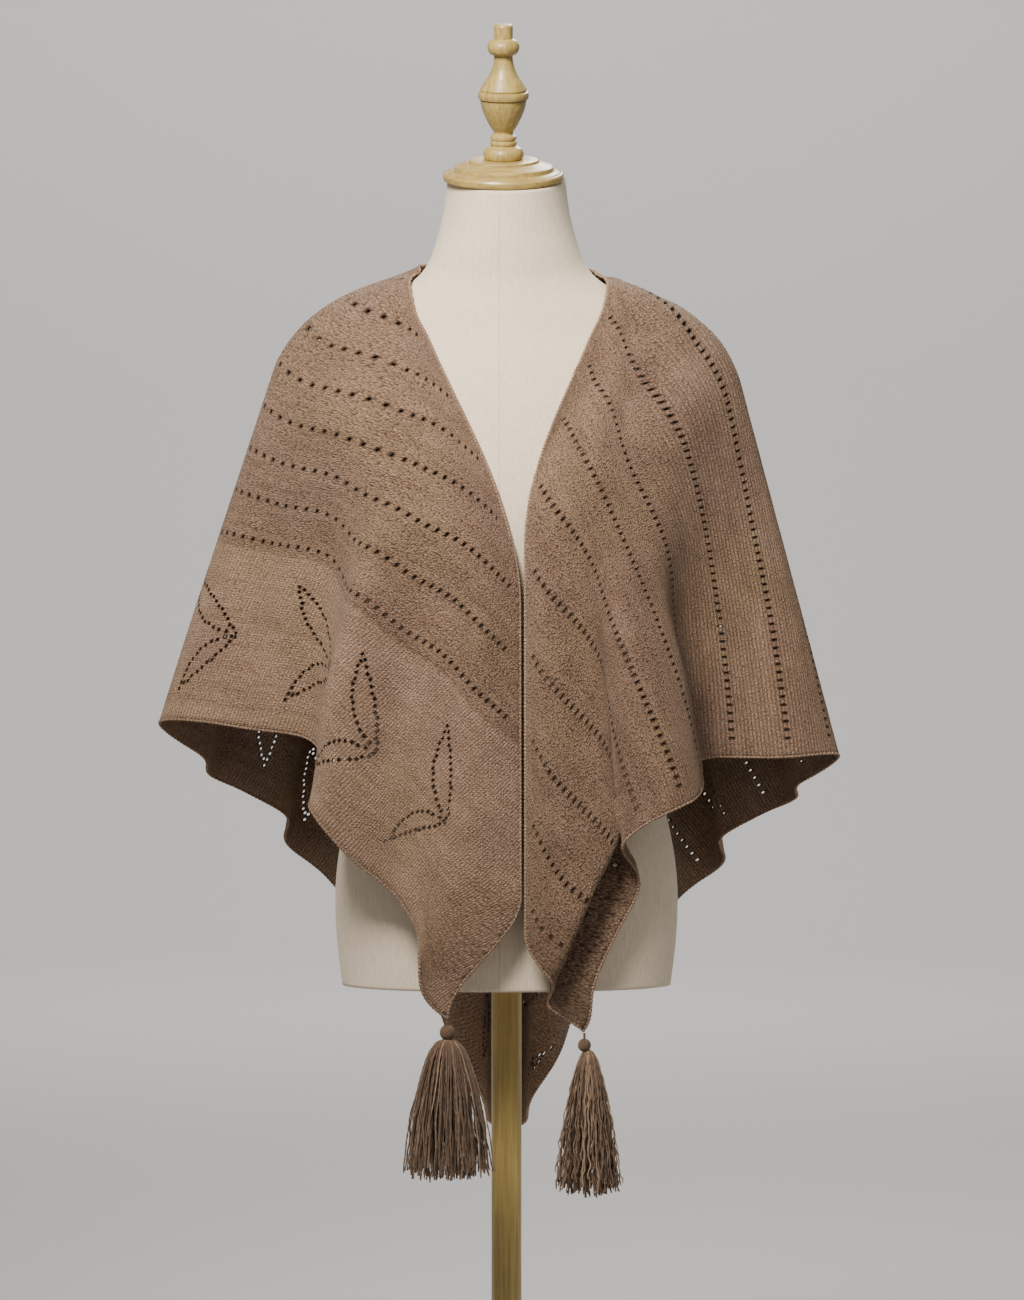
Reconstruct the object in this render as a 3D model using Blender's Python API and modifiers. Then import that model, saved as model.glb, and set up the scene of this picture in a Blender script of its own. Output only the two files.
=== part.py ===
"""A knitted lace shawl, half of a square, worn on a limbless dress form.

Metres, +Z up, the front of the form towards -Y. The floor is z = 0.

The cloth is described flat first. Two edges of the half square are its hems. A point of the
cloth is (a, b), where a is the distance from the hem at the wearer's left and b the distance
from the hem at the wearer's right. The long edge, a + b = SIDE, goes round the neck.

Worn, the cloth fans out from the two sides of the neck. "turn" names a ray of the fan:
0 is the middle of the back, 12 the side of the neck, 57 the arm and 102 the front edge,
with a minus sign on the side of the wearer's right arm. "run" is the length along the ray.
"""

import math

import bmesh
import bpy
import numpy as np
from mathutils import Vector
from mathutils.geometry import delaunay_2d_cdt

# The flat cloth
SIDE = 1.300
NECK_HALF = 0.105
STRIP = 12.0
WALL = 0.0024
ROWS = 54
COLUMNS = 43
ROW_PITCH = SIDE / ROWS
COLUMN_PITCH = SIDE / COLUMNS

# The lace lies in lines along the rows of cells, one line on every second row above the leaf
# band. Every second line, and in it the largest eyelets, is cut through here.
FIRST_LINE = 8
CUT_EVERY = 4
EYELET_LONG = 0.0085
EYELET_WIDE = 0.0068

# The rows run level with the right hem at first. Towards the left front they tilt.
ROW_TILT = 0.20
TILT_FROM = 0.55
TILT_OVER = 0.35

# Where the neck edge lies: at the sides of the neck and at the middle of the back
NECK_X = (-0.084, 0.092)
NECK_Z = (1.377, 1.371)
NECK_Y = 0.004
NAPE_DEPTH = 0.066
NAPE_RISE = 0.012

# The rays of the fan, from the right front over the back to the left front.
# turn, run where the fall starts, x and y there, x, y and z at the hem
RAYS = (
    (-102, 0.395, 0.0165, -0.128, 0.0175, -0.136, 0.637),
    (-97, 0.378, -0.012, -0.140, -0.058, -0.150, 0.693),
    (-92, 0.352, -0.042, -0.143, -0.100, -0.130, 0.752),
    (-87, 0.312, -0.074, -0.138, -0.143, -0.134, 0.789),
    (-82, 0.288, -0.105, -0.129, -0.184, -0.140, 0.838),
    (-78, 0.262, -0.131, -0.115, -0.181, -0.098, 0.857),
    (-74, 0.250, -0.157, -0.096, -0.181, -0.058, 0.897),
    (-69, 0.230, -0.186, -0.068, -0.235, -0.040, 0.914),
    (-64, 0.210, -0.210, -0.036, -0.287, -0.022, 0.921),
    (-57, 0.190, -0.229, 0.004, -0.342, 0.004, 0.922),
    (-50, 0.195, -0.222, 0.034, -0.322, 0.044, 0.898),
    (-42, 0.205, -0.196, 0.066, -0.284, 0.088, 0.864),
    (-32, 0.215, -0.158, 0.098, -0.226, 0.130, 0.812),
    (-22, 0.220, -0.118, 0.118, -0.160, 0.162, 0.730),
    (-12, 0.220, -0.078, 0.128, -0.074, 0.182, 0.625),
    (0, 0.220, 0.004, 0.130, 0.004, 0.188, 0.490),
    (12, 0.220, 0.086, 0.128, 0.080, 0.182, 0.620),
    (22, 0.220, 0.126, 0.118, 0.164, 0.162, 0.716),
    (32, 0.215, 0.164, 0.098, 0.228, 0.130, 0.790),
    (42, 0.205, 0.202, 0.066, 0.282, 0.088, 0.840),
    (50, 0.195, 0.226, 0.034, 0.316, 0.044, 0.868),
    (57, 0.190, 0.236, 0.004, 0.334, 0.004, 0.889),
    (64, 0.210, 0.216, -0.036, 0.274, -0.014, 0.887),
    (70, 0.230, 0.186, -0.070, 0.211, -0.034, 0.886),
    (74, 0.245, 0.160, -0.092, 0.194, -0.076, 0.876),
    (78, 0.260, 0.134, -0.110, 0.191, -0.120, 0.856),
    (84, 0.275, 0.110, -0.124, 0.142, -0.144, 0.828),
    (88, 0.285, 0.092, -0.132, 0.114, -0.142, 0.800),
    (92, 0.302, 0.073, -0.138, 0.121, -0.134, 0.765),
    (95, 0.310, 0.058, -0.140, 0.099, -0.138, 0.721),
    (98, 0.318, 0.040, -0.138, 0.061, -0.144, 0.669),
    (102, 0.325, 0.0225, -0.128, 0.0225, -0.132, 0.622),
)

# The soft folds of the back, which take up the slack below the shoulder blades
FOLD_TURN = 14.0
FOLD_SWING = 1.10
FOLD_START = 0.20
FOLD_FULL = 0.60

# How fast a ray sets out, as a multiple of its even pace, at most; at the front edge; and the
# turns between which it changes
SET_OUT = 1.7
SET_OUT_MOST = 0.90
SET_OUT_EDGE = 1.1
SET_OUT_TURNS = (78, 98)

# The share of the fall where the drop to the hem's height begins to be evened out
EVEN_FROM = 0.4

# Near the hem of each front the cloth leaves its fall: a strip along the hem is moved aside.
# side, distance from the hem where it starts and where it starts at the front edge, over which,
# turn where it starts, over which, moved in x, moved in y
HEM_FOLDS = (
    (-1, 0.085, 0.085, 0.085, 94, 8, -0.071, 0.006),
    (1, 0.075, 0.068, 0.045, 94, 8, 0.030, 0.000),
    (1, 0.054, 0.040, 0.022, 86, 6, -0.020, 0.032),
    (1, 0.034, 0.020, 0.024, 86, 6, 0.032, 0.000),
)

# side, run where the front point swings outward, over which, how far
TIP_SWINGS = ((1, 0.745, 0.070, 0.017),)

# The dress form: height, half width, depth in front of y = 0, depth behind it, squareness
FORM_SECTIONS = (
    (1.4615, 0.0590, 0.0700, 0.0480, 2.0),
    (1.4300, 0.0630, 0.0690, 0.0550, 2.0),
    (1.4000, 0.0710, 0.0680, 0.0620, 2.0),
    (1.3780, 0.0800, 0.0670, 0.0660, 2.0),
    (1.3620, 0.0950, 0.0660, 0.0690, 1.85),
    (1.3465, 0.1250, 0.0680, 0.0730, 1.66),
    (1.3290, 0.1580, 0.0720, 0.0780, 1.62),
    (1.3080, 0.1800, 0.0770, 0.0850, 1.62),
    (1.2830, 0.1905, 0.0860, 0.0950, 1.75),
    (1.2450, 0.1930, 0.0985, 0.1060, 2.0),
    (1.1900, 0.1820, 0.1120, 0.1110, 2.15),
    (1.1200, 0.1720, 0.1200, 0.1070, 2.2),
    (1.0600, 0.1600, 0.1100, 0.0980, 2.2),
    (0.9900, 0.1340, 0.0900, 0.0860, 2.1),
    (0.9300, 0.1320, 0.0880, 0.0900, 2.1),
    (0.8500, 0.1540, 0.0980, 0.1040, 2.1),
    (0.7700, 0.1700, 0.1050, 0.1140, 2.1),
    (0.7000, 0.1690, 0.1030, 0.1120, 2.1),
    (0.6600, 0.1640, 0.0990, 0.1080, 2.1),
)
FORM_LEAN_X = 0.0035
FORM_AROUND = 36

# Turned wood: height along the axis and radius
CAP_CENTRE = (0.0005, -0.012, 1.4619)
CAP_LEAN = math.radians(16)
NECK_CAP = (
    (0.0000, 0.0570),
    (0.0015, 0.0600),
    (0.0065, 0.0600),
    (0.0085, 0.0580),
    (0.0112, 0.0500),
    (0.0142, 0.0492),
    (0.0178, 0.0400),
    (0.0192, 0.0352),
    (0.0215, 0.0340),
)
FINIAL = (
    (0.0218, 0.0185),
    (0.0238, 0.0200),
    (0.0276, 0.0203),
    (0.0315, 0.0185),
    (0.0350, 0.0135),
    (0.0370, 0.0130),
    (0.0388, 0.0135),
    (0.0412, 0.0124),
    (0.0445, 0.0131),
    (0.0475, 0.0098),
    (0.0505, 0.0108),
    (0.0584, 0.0156),
    (0.0695, 0.0207),
    (0.0803, 0.0232),
    (0.0828, 0.0250),
    (0.0872, 0.0252),
    (0.0894, 0.0234),
    (0.0917, 0.0231),
    (0.0984, 0.0187),
    (0.1074, 0.0131),
    (0.1162, 0.0101),
    (0.1243, 0.0093),
    (0.1285, 0.0148),
    (0.1328, 0.0160),
    (0.1372, 0.0148),
    (0.1412, 0.0093),
    (0.1532, 0.0094),
    (0.1555, 0.0070),
)

# Rise above the underside of a tassel's head, and radius there
TASSEL_HEAD = ((0.0040, 0.0085), (0.0075, 0.0058), (0.0110, 0.0052))

POLE = ((0.0233, 0.0150), (0.6597, 0.0150))
BASE = (
    (0.0000, 0.1700),
    (0.0040, 0.1740),
    (0.0120, 0.1740),
    (0.0170, 0.1680),
    (0.0200, 0.1000),
    (0.0230, 0.0400),
)

# The cloth touches the form at the neck. Lower down the left-out dress kept it a little off.
NECK_GAP = 0.0027
BODY_GAP = 0.0095


def spline(knots, values, at):
    """The natural cubic curve through (knots, values), read at each place of at."""
    knots = np.asarray(knots, float)
    values = np.asarray(values, float)
    step = np.diff(knots)
    slope = np.diff(values) / step
    count = len(knots)
    system = np.eye(count)
    right = np.zeros(count)
    for i in range(1, count - 1):
        system[i, i - 1 : i + 2] = step[i - 1], 2 * (step[i - 1] + step[i]), step[i]
        right[i] = 6 * (slope[i] - slope[i - 1])
    bend = np.linalg.solve(system, right)
    i = np.clip(np.searchsorted(knots, at) - 1, 0, count - 2)
    h = step[i]
    p = (knots[i + 1] - at) / h
    q = (at - knots[i]) / h
    return (
        p * values[i]
        + q * values[i + 1]
        + ((p**3 - p) * bend[i] + (q**3 - q) * bend[i + 1]) * h**2 / 6
    )


def ease(x):
    """0 below 0, 1 above 1, with a soft S between."""
    x = np.clip(x, 0.0, 1.0)
    return x * x * (3 - 2 * x)


def form_inside(x, y, z):
    """Below 0 inside the dress form, 0 on it: each section is a squared-off oval."""
    rows = np.array(FORM_SECTIONS)[::-1]
    half, front, back, square = (
        spline(rows[:, 0], rows[:, k], np.clip(z, rows[0, 0], rows[-1, 0])) for k in (1, 2, 3, 4)
    )
    depth = np.where(y < 0, front, back)
    across = np.abs(x - FORM_LEAN_X) / half
    along = np.abs(y) / depth
    return (across**square + along**square) ** (1 / square) - 1


def off_the_form(points):
    """Moves each point that is too near to the form straight out to its gap."""
    points = points.copy()
    from_neck = ease((np.abs(points[:, 0] - FORM_LEAN_X) - 0.089) / 0.022)
    gap = NECK_GAP + (BODY_GAP - NECK_GAP) * from_neck
    tiny = 1e-5
    for _ in range(12):
        x, y, z = points.T
        here = form_inside(x, y, z)
        slope = np.stack(
            (
                form_inside(x + tiny, y, z) - here,
                form_inside(x, y + tiny, z) - here,
                form_inside(x, y, z + tiny) - here,
            ),
            axis=1,
        ) / tiny
        steep = np.linalg.norm(slope, axis=1) + 1e-9
        short = np.clip(gap - here / steep, 0, 0.02)
        points += slope / steep[:, None] * short[:, None]
    return points


def fan_of(a, b):
    """The ray and the run along it of each point of the flat cloth."""
    s = (b - a) / math.sqrt(2)
    t = (SIDE - a - b) / math.sqrt(2)
    side = np.where(s < 0, -1.0, 1.0)
    over = np.abs(s) - NECK_HALF
    turn = np.where(
        over > 0,
        STRIP + np.degrees(np.arctan2(np.maximum(over, 0), np.maximum(t, 1e-9))),
        STRIP * np.abs(s) / NECK_HALF,
    )
    run = np.where(over > 0, np.hypot(over, t), t)
    return side * turn, run


def hem_run(turn):
    """The length of each ray, from the neck edge to the hem."""
    size = np.abs(turn)
    fan = np.radians(np.maximum(size - STRIP, 0))
    edge = SIDE / math.sqrt(2)
    fanned = (edge - NECK_HALF) / (np.sin(fan) + np.cos(fan))
    return np.where(size > STRIP, fanned, edge - NECK_HALF * size / STRIP)


def neck_edge(turn):
    """The start of each ray: the side of the neck, or a point of the curve round its back."""
    side = np.clip(turn / STRIP, -1, 1)
    middle = (NECK_X[0] + NECK_X[1]) / 2
    half = (NECK_X[1] - NECK_X[0]) / 2
    angle = side * math.pi / 2
    x = middle + half * np.sin(angle)
    y = NECK_Y + NAPE_DEPTH * np.cos(angle)
    ends = NECK_Z[0] + (NECK_Z[1] - NECK_Z[0]) * (side + 1) / 2
    return x, y, ends + NAPE_RISE * np.cos(angle)


def heading(turn, run, rays):
    """The share of a short step along the ray that goes in x and in y: the rest goes down."""
    fall, top_x, top_y, hem_x, hem_y, start_x, start_y = rays
    outward = np.clip(turn / STRIP, -1, 1)
    size = np.hypot(top_x - start_x, top_y - start_y)
    lead_x = top_x - start_x + 0.50 * size * outward
    lead_y = top_y - start_y
    to_edge = ease((np.abs(turn) - SET_OUT_TURNS[0]) / (SET_OUT_TURNS[1] - SET_OUT_TURNS[0]))
    pace = SET_OUT + (SET_OUT_EDGE - SET_OUT) * to_edge
    lead = np.minimum(SET_OUT_MOST, pace * size / fall) / np.hypot(lead_x, lead_y)
    below = np.maximum(hem_run(turn) - fall, 0.05)
    p = np.clip(run / fall, 0, 1)
    shares = []
    for start, top, hem, first in (
        (start_x, top_x, hem_x, lead_x * lead),
        (start_y, top_y, hem_y, lead_y * lead),
    ):
        last = (hem - top) / below
        rise = 6 * (p - p * p) * (top - start) / fall
        upper = rise + (1 - 4 * p + 3 * p * p) * first + (3 * p * p - 2 * p) * last
        shares.append(np.where(run < fall, upper, last))
    return shares


def ray_end(turn, run, rays, start_z):
    """Follows each ray in short steps to its run: x, y and z there."""
    x, y, z = rays[5].copy(), rays[6].copy(), start_z.copy()
    steps = 64
    for i in range(steps):
        share_x, share_y = heading(turn, run * (i + 0.5) / steps, rays[:7])
        size = np.hypot(share_x, share_y)
        limit = np.minimum(1, 0.97 / np.maximum(size, 1e-9))
        x += share_x * limit * run / steps
        y += share_y * limit * run / steps
        z -= np.sqrt(1 - (size * limit) ** 2) * run / steps
    return x, y, z


def worn(a, b):
    """Where each point of the flat cloth lies on the form: the inner side of the cloth."""
    turn, run = fan_of(a, b)
    rows = np.array(RAYS)
    fall, top_x, top_y, hem_x, hem_y, hem_z = (
        spline(rows[:, 0], rows[:, k], turn) for k in range(1, 7)
    )
    start_x, start_y, start_z = neck_edge(turn)
    rays = (fall, top_x, top_y, hem_x, hem_y, start_x, start_y)
    whole = hem_run(turn)
    x, y, z = ray_end(turn, run, rays, start_z)
    lowest = ray_end(turn, whole, rays, start_z)[2]
    even_from = EVEN_FROM * fall
    z = z + (hem_z - lowest) * ease((run - even_from) / (whole - even_from))
    x, y = fold_back(turn, run, x, y)
    for side, start, start_edge, over, from_turn, turns, move_x, move_y in HEM_FOLDS:
        hem = a if side > 0 else b
        to_edge = ease((side * turn - from_turn) / (102 - from_turn))
        near = ease((start + (start_edge - start) * to_edge - hem) / over)
        share = near * ease((side * turn - from_turn) / turns)
        x = x + move_x * share
        y = y + move_y * share
    for side, from_run, over, move_x in TIP_SWINGS:
        x = x + side * move_x * ease((run - from_run) / over) * ease((side * turn - 94) / 6)
    return off_the_form(np.stack((x, y, z), axis=1))


def fold_back(turn, run, x, y):
    """Soft folds of the back: the cloth swings from side to side along its own line."""
    rows = np.array(RAYS)
    width = math.radians(FOLD_TURN) * np.maximum(run, 0.05) / (2 * math.pi)
    grow = np.sqrt(ease((run - FOLD_START) / (FOLD_FULL - FOLD_START)))
    swing = FOLD_SWING * grow * ease((52 - np.abs(turn)) / 14)
    phase = 2 * math.pi * turn / FOLD_TURN
    ahead = [spline(rows[:, 0], rows[:, k], turn + 1) for k in (4, 5)]
    behind = [spline(rows[:, 0], rows[:, k], turn - 1) for k in (4, 5)]
    along_x = ahead[0] - behind[0]
    along_y = ahead[1] - behind[1]
    size = np.hypot(along_x, along_y)
    along_x, along_y = along_x / size, along_y / size
    out = width * swing * np.cos(phase)
    side = width * swing**2 / 8 * np.sin(2 * phase)
    return x - along_y * out + along_x * side, y + along_x * out + along_y * side


def row_bent(a, v):
    """The b of a point at distance a on the row that meets the left hem at v."""
    b = v
    for _ in range(40):
        b = v - ROW_TILT * a * ease((b - TILT_FROM) / TILT_OVER)
    return b


def has_eyelet(column, row):
    """Whether this cell of the flat cloth holds an eyelet."""
    a = (column + 0.5) * COLUMN_PITCH
    b = row_bent(a, (row + 0.5) * ROW_PITCH)
    chosen = row >= FIRST_LINE and (row - FIRST_LINE) % CUT_EVERY == 0
    return chosen and a > 0.03 and a + b < SIDE - 0.035


def flat_cloth():
    """The half square as a flat mesh: a grid of cells, some of them frames round an eyelet."""
    mesh = bmesh.new()
    corners = {}

    def place(a, v):
        return (a, row_bent(a, v), 0)

    def corner(column, row):
        key = (column, row)
        if key not in corners:
            corners[key] = mesh.verts.new(place(column * COLUMN_PITCH, row * ROW_PITCH))
        return corners[key]

    for row in range(ROWS):
        for column in range(COLUMNS):
            low_a = column * COLUMN_PITCH
            if low_a + row_bent(low_a, row * ROW_PITCH) > SIDE - 1e-6:
                continue
            ring = [
                corner(column, row),
                corner(column + 1, row),
                corner(column + 1, row + 1),
                corner(column, row + 1),
            ]
            middle_a = (column + 0.5) * COLUMN_PITCH
            middle_v = (row + 0.5) * ROW_PITCH
            if not has_eyelet(column, row):
                turn = abs(fan_of(middle_a, row_bent(middle_a, middle_v))[0])
                first = 1 if turn > 57 else 0
                mesh.faces.new((ring[first], ring[first + 1], ring[first + 2]))
                mesh.faces.new((ring[first], ring[first + 2], ring[first - 1]))
                continue
            inner = [
                mesh.verts.new(
                    place(middle_a + da * EYELET_WIDE / 2, middle_v + dv * EYELET_LONG / 2)
                )
                for da, dv in ((-1, -1), (1, -1), (1, 1), (-1, 1))
            ]
            for k in range(4):
                n = (k + 1) % 4
                mesh.faces.new((ring[k], ring[n], inner[n], inner[k]))
    bmesh.ops.bisect_plane(
        mesh,
        geom=mesh.verts[:] + mesh.edges[:] + mesh.faces[:],
        dist=0.002,
        plane_co=(SIDE, 0, 0),
        plane_no=(1, 1, 0),
        clear_outer=True,
    )
    return mesh


def material(name, colour, rough):
    """A plain material of one colour."""
    made = bpy.data.materials.new(name)
    made.use_nodes = True
    shader = made.node_tree.nodes["Principled BSDF"]
    shader.inputs["Base Color"].default_value = (*colour, 1)
    shader.inputs["Roughness"].default_value = rough
    return made


def add_object(name, mesh, colour, rough):
    """Puts a finished bmesh in the scene as one object of its own material."""
    data = bpy.data.meshes.new(name)
    mesh.to_mesh(data)
    mesh.free()
    made = bpy.data.objects.new(name, data)
    made.data.materials.append(material(name, colour, rough))
    parts.objects.link(made)
    return made


def loft(rings, name, colour, rough):
    """A closed body through rings of points, with a fan of faces over each end."""
    mesh = bmesh.new()
    made = [[mesh.verts.new(point) for point in ring] for ring in rings]
    for low, high in zip(made, made[1:]):
        for k in range(len(low)):
            n = (k + 1) % len(low)
            mesh.faces.new((low[k], low[n], high[n], high[k]))
    mesh.faces.new(made[0][::-1])
    mesh.faces.new(made[-1])
    return add_object(name, mesh, colour, rough)


def build_shawl():
    mesh = flat_cloth()
    points = np.array([v.co for v in mesh.verts])
    places = worn(points[:, 0], points[:, 1])
    for vert, place in zip(mesh.verts, places):
        vert.co = place
    shawl = add_object("shawl", mesh, (0.32, 0.22, 0.16), 0.9)
    thick = shawl.modifiers.new("wall", "SOLIDIFY")
    thick.thickness = WALL
    thick.offset = 1
    thick.use_even_offset = True
    return shawl


def build_form():
    rings = []
    rows = np.array(FORM_SECTIONS)[::-1]
    for z, half, front, back, square in rows:
        ring = []
        for k in range(FORM_AROUND):
            angle = 2 * math.pi * k / FORM_AROUND
            c, s = math.cos(angle), math.sin(angle)
            depth = front if s < 0 else back
            power = 2 / square
            x = FORM_LEAN_X + half * math.copysign(abs(c) ** power, c)
            y = depth * math.copysign(abs(s) ** power, s)
            tilt = math.tan(CAP_LEAN) * float(ease((z - 1.385) / 0.07))
            ring.append((x, y, z + tilt * (y - CAP_CENTRE[1])))
        rings.append(ring)
    return loft(rings, "torso", (0.62, 0.54, 0.45), 0.85)


def turned(rows, name, around, centre, lean, colour, rough):
    """A body of round sections (height, radius) above centre, leaning to the front by lean."""
    rings = []
    for height, radius in rows:
        ring = []
        for k in range(around):
            angle = 2 * math.pi * k / around
            x = radius * math.cos(angle)
            y = radius * math.sin(angle)
            ring.append(
                (
                    centre[0] + x,
                    centre[1] + y * math.cos(lean) - height * math.sin(lean),
                    centre[2] + y * math.sin(lean) + height * math.cos(lean),
                )
            )
        rings.append(ring)
    return loft(rings, name, colour, rough)


def knot(name, top, ball, radius):
    """The round knot under a front point, with a short cord up to the cloth at height top."""
    rows = []
    for k in range(7):
        angle = math.pi * (k + 0.5) / 7.5
        rows.append((-radius * math.cos(angle), radius * math.sin(angle)))
    cord = radius * 0.22
    rows += [(radius * 1.02, cord), (top - ball[2], cord)]
    return turned(rows, name, 12, ball, 0, (0.30, 0.20, 0.15), 0.9)


def tassel(name, head, strands, length, spread, crimp, bends, bell):
    """A bound head whose flat underside carries strands of three sides, all one body.

    The roots of the strands are small triangles set in a sunflower spiral in the underside.
    Lower down each strand keeps its place in the spiral while the whole spiral opens out by
    the share of its length to the power bell, so the bundle hangs like a bell.
    """
    inside = 0.0082
    around = 24
    flat = [
        Vector((0.0098 * math.cos(2 * math.pi * k / around), 0.0098 * math.sin(2 * math.pi * k / around)))
        for k in range(around)
    ]
    spots = []
    for k in range(strands):
        far = inside * math.sqrt((k + 0.5) / strands)
        angle = k * math.pi * (3 - math.sqrt(5))
        spots.append((far, angle))
        for corner in range(3):
            at = angle + 2 * math.pi * corner / 3
            flat.append(
                Vector((far * math.cos(angle) + 0.0005 * math.cos(at),
                        far * math.sin(angle) + 0.0005 * math.sin(at)))
            )
    roots = [[around + 3 * k + corner for corner in range(3)] for k in range(strands)]
    outline = [list(range(around))]
    places, _, faces, _, _, origins = delaunay_2d_cdt(flat, [], outline + roots, 1, 1e-7)
    mesh = bmesh.new()
    under = [mesh.verts.new((head[0] + p.x, head[1] + p.y, head[2])) for p in places]
    for face, origin in zip(faces, origins):
        if not any(number > 0 for number in origin):
            mesh.faces.new([under[k] for k in reversed(face)])
    for k, (far, angle) in enumerate(spots):
        ring = [under[n] for n in roots[k]]
        # Irrational steps give each strand its own length and waves with no random numbers.
        own = (k * 0.6180339887) % 1
        long = length * (0.86 + 0.14 * own)
        for bend in range(1, bends + 1):
            part_way = bend / bends
            open_out = 1 + (spread / inside - 1) * part_way**bell
            wave = crimp * part_way * math.sin(bend * 2.4 + k * 1.7)
            x = head[0] + far * open_out * math.cos(angle) + wave * math.cos(k * 2.1)
            y = head[1] + 0.8 * far * open_out * math.sin(angle) + wave * math.sin(k * 2.1)
            size = 0.0005 + 0.0008 * min(1, 2 * part_way)
            lower = [
                mesh.verts.new(
                    (
                        x + size * math.cos(angle + 2 * math.pi * corner / 3),
                        y + size * math.sin(angle + 2 * math.pi * corner / 3),
                        head[2] - long * part_way,
                    )
                )
                for corner in range(3)
            ]
            for corner in range(3):
                n = (corner + 1) % 3
                mesh.faces.new((ring[n], ring[corner], lower[corner], lower[n]))
            ring = lower
        mesh.faces.new(ring[::-1])
    rim = under[:around]
    for rise, radius in TASSEL_HEAD:
        upper = [
            mesh.verts.new(
                (
                    head[0] + radius * math.cos(2 * math.pi * k / around),
                    head[1] + radius * math.sin(2 * math.pi * k / around),
                    head[2] + rise,
                )
            )
            for k in range(around)
        ]
        for k in range(around):
            n = (k + 1) % around
            mesh.faces.new((rim[k], rim[n], upper[n], upper[k]))
        rim = upper
    mesh.faces.new(rim)
    return add_object(name, mesh, (0.33, 0.24, 0.18), 0.9)


for old in list(bpy.data.objects):
    bpy.data.objects.remove(old)

parts = bpy.data.collections.new("shawl_on_dress_form")
bpy.context.scene.collection.children.link(parts)

build_shawl()
build_form()
turned(NECK_CAP, "neck_cap", 28, CAP_CENTRE, CAP_LEAN, (0.55, 0.43, 0.25), 0.4)
turned(FINIAL, "finial", 18, CAP_CENTRE, CAP_LEAN, (0.55, 0.43, 0.25), 0.4)
turned(POLE, "pole", 20, (FORM_LEAN_X, 0.003, 0), 0, (0.55, 0.43, 0.25), 0.4)
turned(BASE, "base", 40, (FORM_LEAN_X, 0.003, 0), 0, (0.55, 0.43, 0.25), 0.4)
knot("knot_right", 0.6362, (-0.0535, -0.1312, 0.6240), 0.0074)
knot("knot_left", 0.6209, (0.0795, -0.1032, 0.6090), 0.0064)
tassel("tassel_right", (-0.0535, -0.131, 0.6050), 56, 0.125, 0.045, 0.0012, 3, 0.45)
tassel("tassel_left", (0.0830, -0.103, 0.5912), 54, 0.130, 0.034, 0.0022, 4, 0.60)
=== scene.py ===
# %% [markdown]
# A knitted lace shawl on a limbless dress form.
#
# The shawl is half of a square, knitted in fine brushed wool. Its long edge goes round the neck
# and its two points hang down the front, each with a knot and a tassel. This lesson dresses the
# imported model: the cloth gets its stitches and eyelets, the tassels their yarn, the form its
# smooth cover and the turned wood its grain.
#
# Everything is in metres. +Z is up and the front of the form faces -Y.

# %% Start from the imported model
import math

import bpy
import numpy as np
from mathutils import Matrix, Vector


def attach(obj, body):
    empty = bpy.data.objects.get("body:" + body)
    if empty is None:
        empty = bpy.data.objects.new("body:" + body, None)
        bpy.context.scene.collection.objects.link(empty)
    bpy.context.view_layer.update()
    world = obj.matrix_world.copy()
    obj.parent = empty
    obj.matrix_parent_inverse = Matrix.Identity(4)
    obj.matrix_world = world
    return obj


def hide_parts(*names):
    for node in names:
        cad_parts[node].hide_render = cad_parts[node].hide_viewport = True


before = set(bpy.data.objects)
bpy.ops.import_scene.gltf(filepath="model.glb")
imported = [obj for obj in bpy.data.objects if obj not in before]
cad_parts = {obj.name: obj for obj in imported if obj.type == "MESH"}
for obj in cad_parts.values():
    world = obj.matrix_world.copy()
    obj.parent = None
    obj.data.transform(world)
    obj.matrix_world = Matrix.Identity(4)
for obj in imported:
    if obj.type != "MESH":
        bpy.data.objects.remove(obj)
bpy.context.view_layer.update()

# %% [markdown]
# Two small curves do most of the shaping below. One passes smoothly through a row of measured
# values, as a bent spline does on a drawing board. The other goes softly from 0 to 1, and is
# used wherever a fold or a change of surface fades in.

# %% Two shaping curves


def ease(x):
    """0 below 0, 1 above 1, and 3x^2 - 2x^3 between."""
    x = np.clip(x, 0.0, 1.0)
    return x * x * (3 - 2 * x)


def spline(knots, values, at):
    """The natural cubic curve through (knots, values): its bending is found by solving
    h[i-1] m[i-1] + 2 (h[i-1] + h[i]) m[i] + h[i] m[i+1] = 6 (change of slope) for all knots."""
    knots = np.asarray(knots, float)
    values = np.asarray(values, float)
    step = np.diff(knots)
    slope = np.diff(values) / step
    inside = np.arange(1, len(knots) - 1)
    system = np.eye(len(knots))
    system[inside, inside - 1] = step[:-1]
    system[inside, inside] = 2 * (step[:-1] + step[1:])
    system[inside, inside + 1] = step[1:]
    right = np.zeros(len(knots))
    right[inside] = 6 * np.diff(slope)
    bend = np.linalg.solve(system, right)
    i = np.clip(np.searchsorted(knots, at) - 1, 0, len(knots) - 2)
    h = step[i]
    p, q = (knots[i + 1] - at) / h, (at - knots[i]) / h
    curved = (p**3 - p) * bend[i] + (q**3 - q) * bend[i + 1]
    return p * values[i] + q * values[i + 1] + curved * h * h / 6


def read(table, at, *columns):
    """These columns of a table: each a spline through its rows, read at each place of at."""
    return [spline(table[:, 0], table[:, k], at) for k in columns]


print("half way", ease(0.5), "through the rows", spline([0, 1, 2, 3], [0, 1, 0, 1], np.array([1.5])))

# %% [markdown]
# Most pieces here are rings of points, one above another or one after another along a path. A
# helper turns such rings into faces, and another puts whole arrays into a mesh at once, which is
# much faster than adding faces one by one. Each piece rides on the model's only body.

# %% Helpers that make and place a piece


def circle(around):
    """The angles of points spaced evenly round a circle."""
    return 2 * math.pi * np.arange(around) / around


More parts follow.
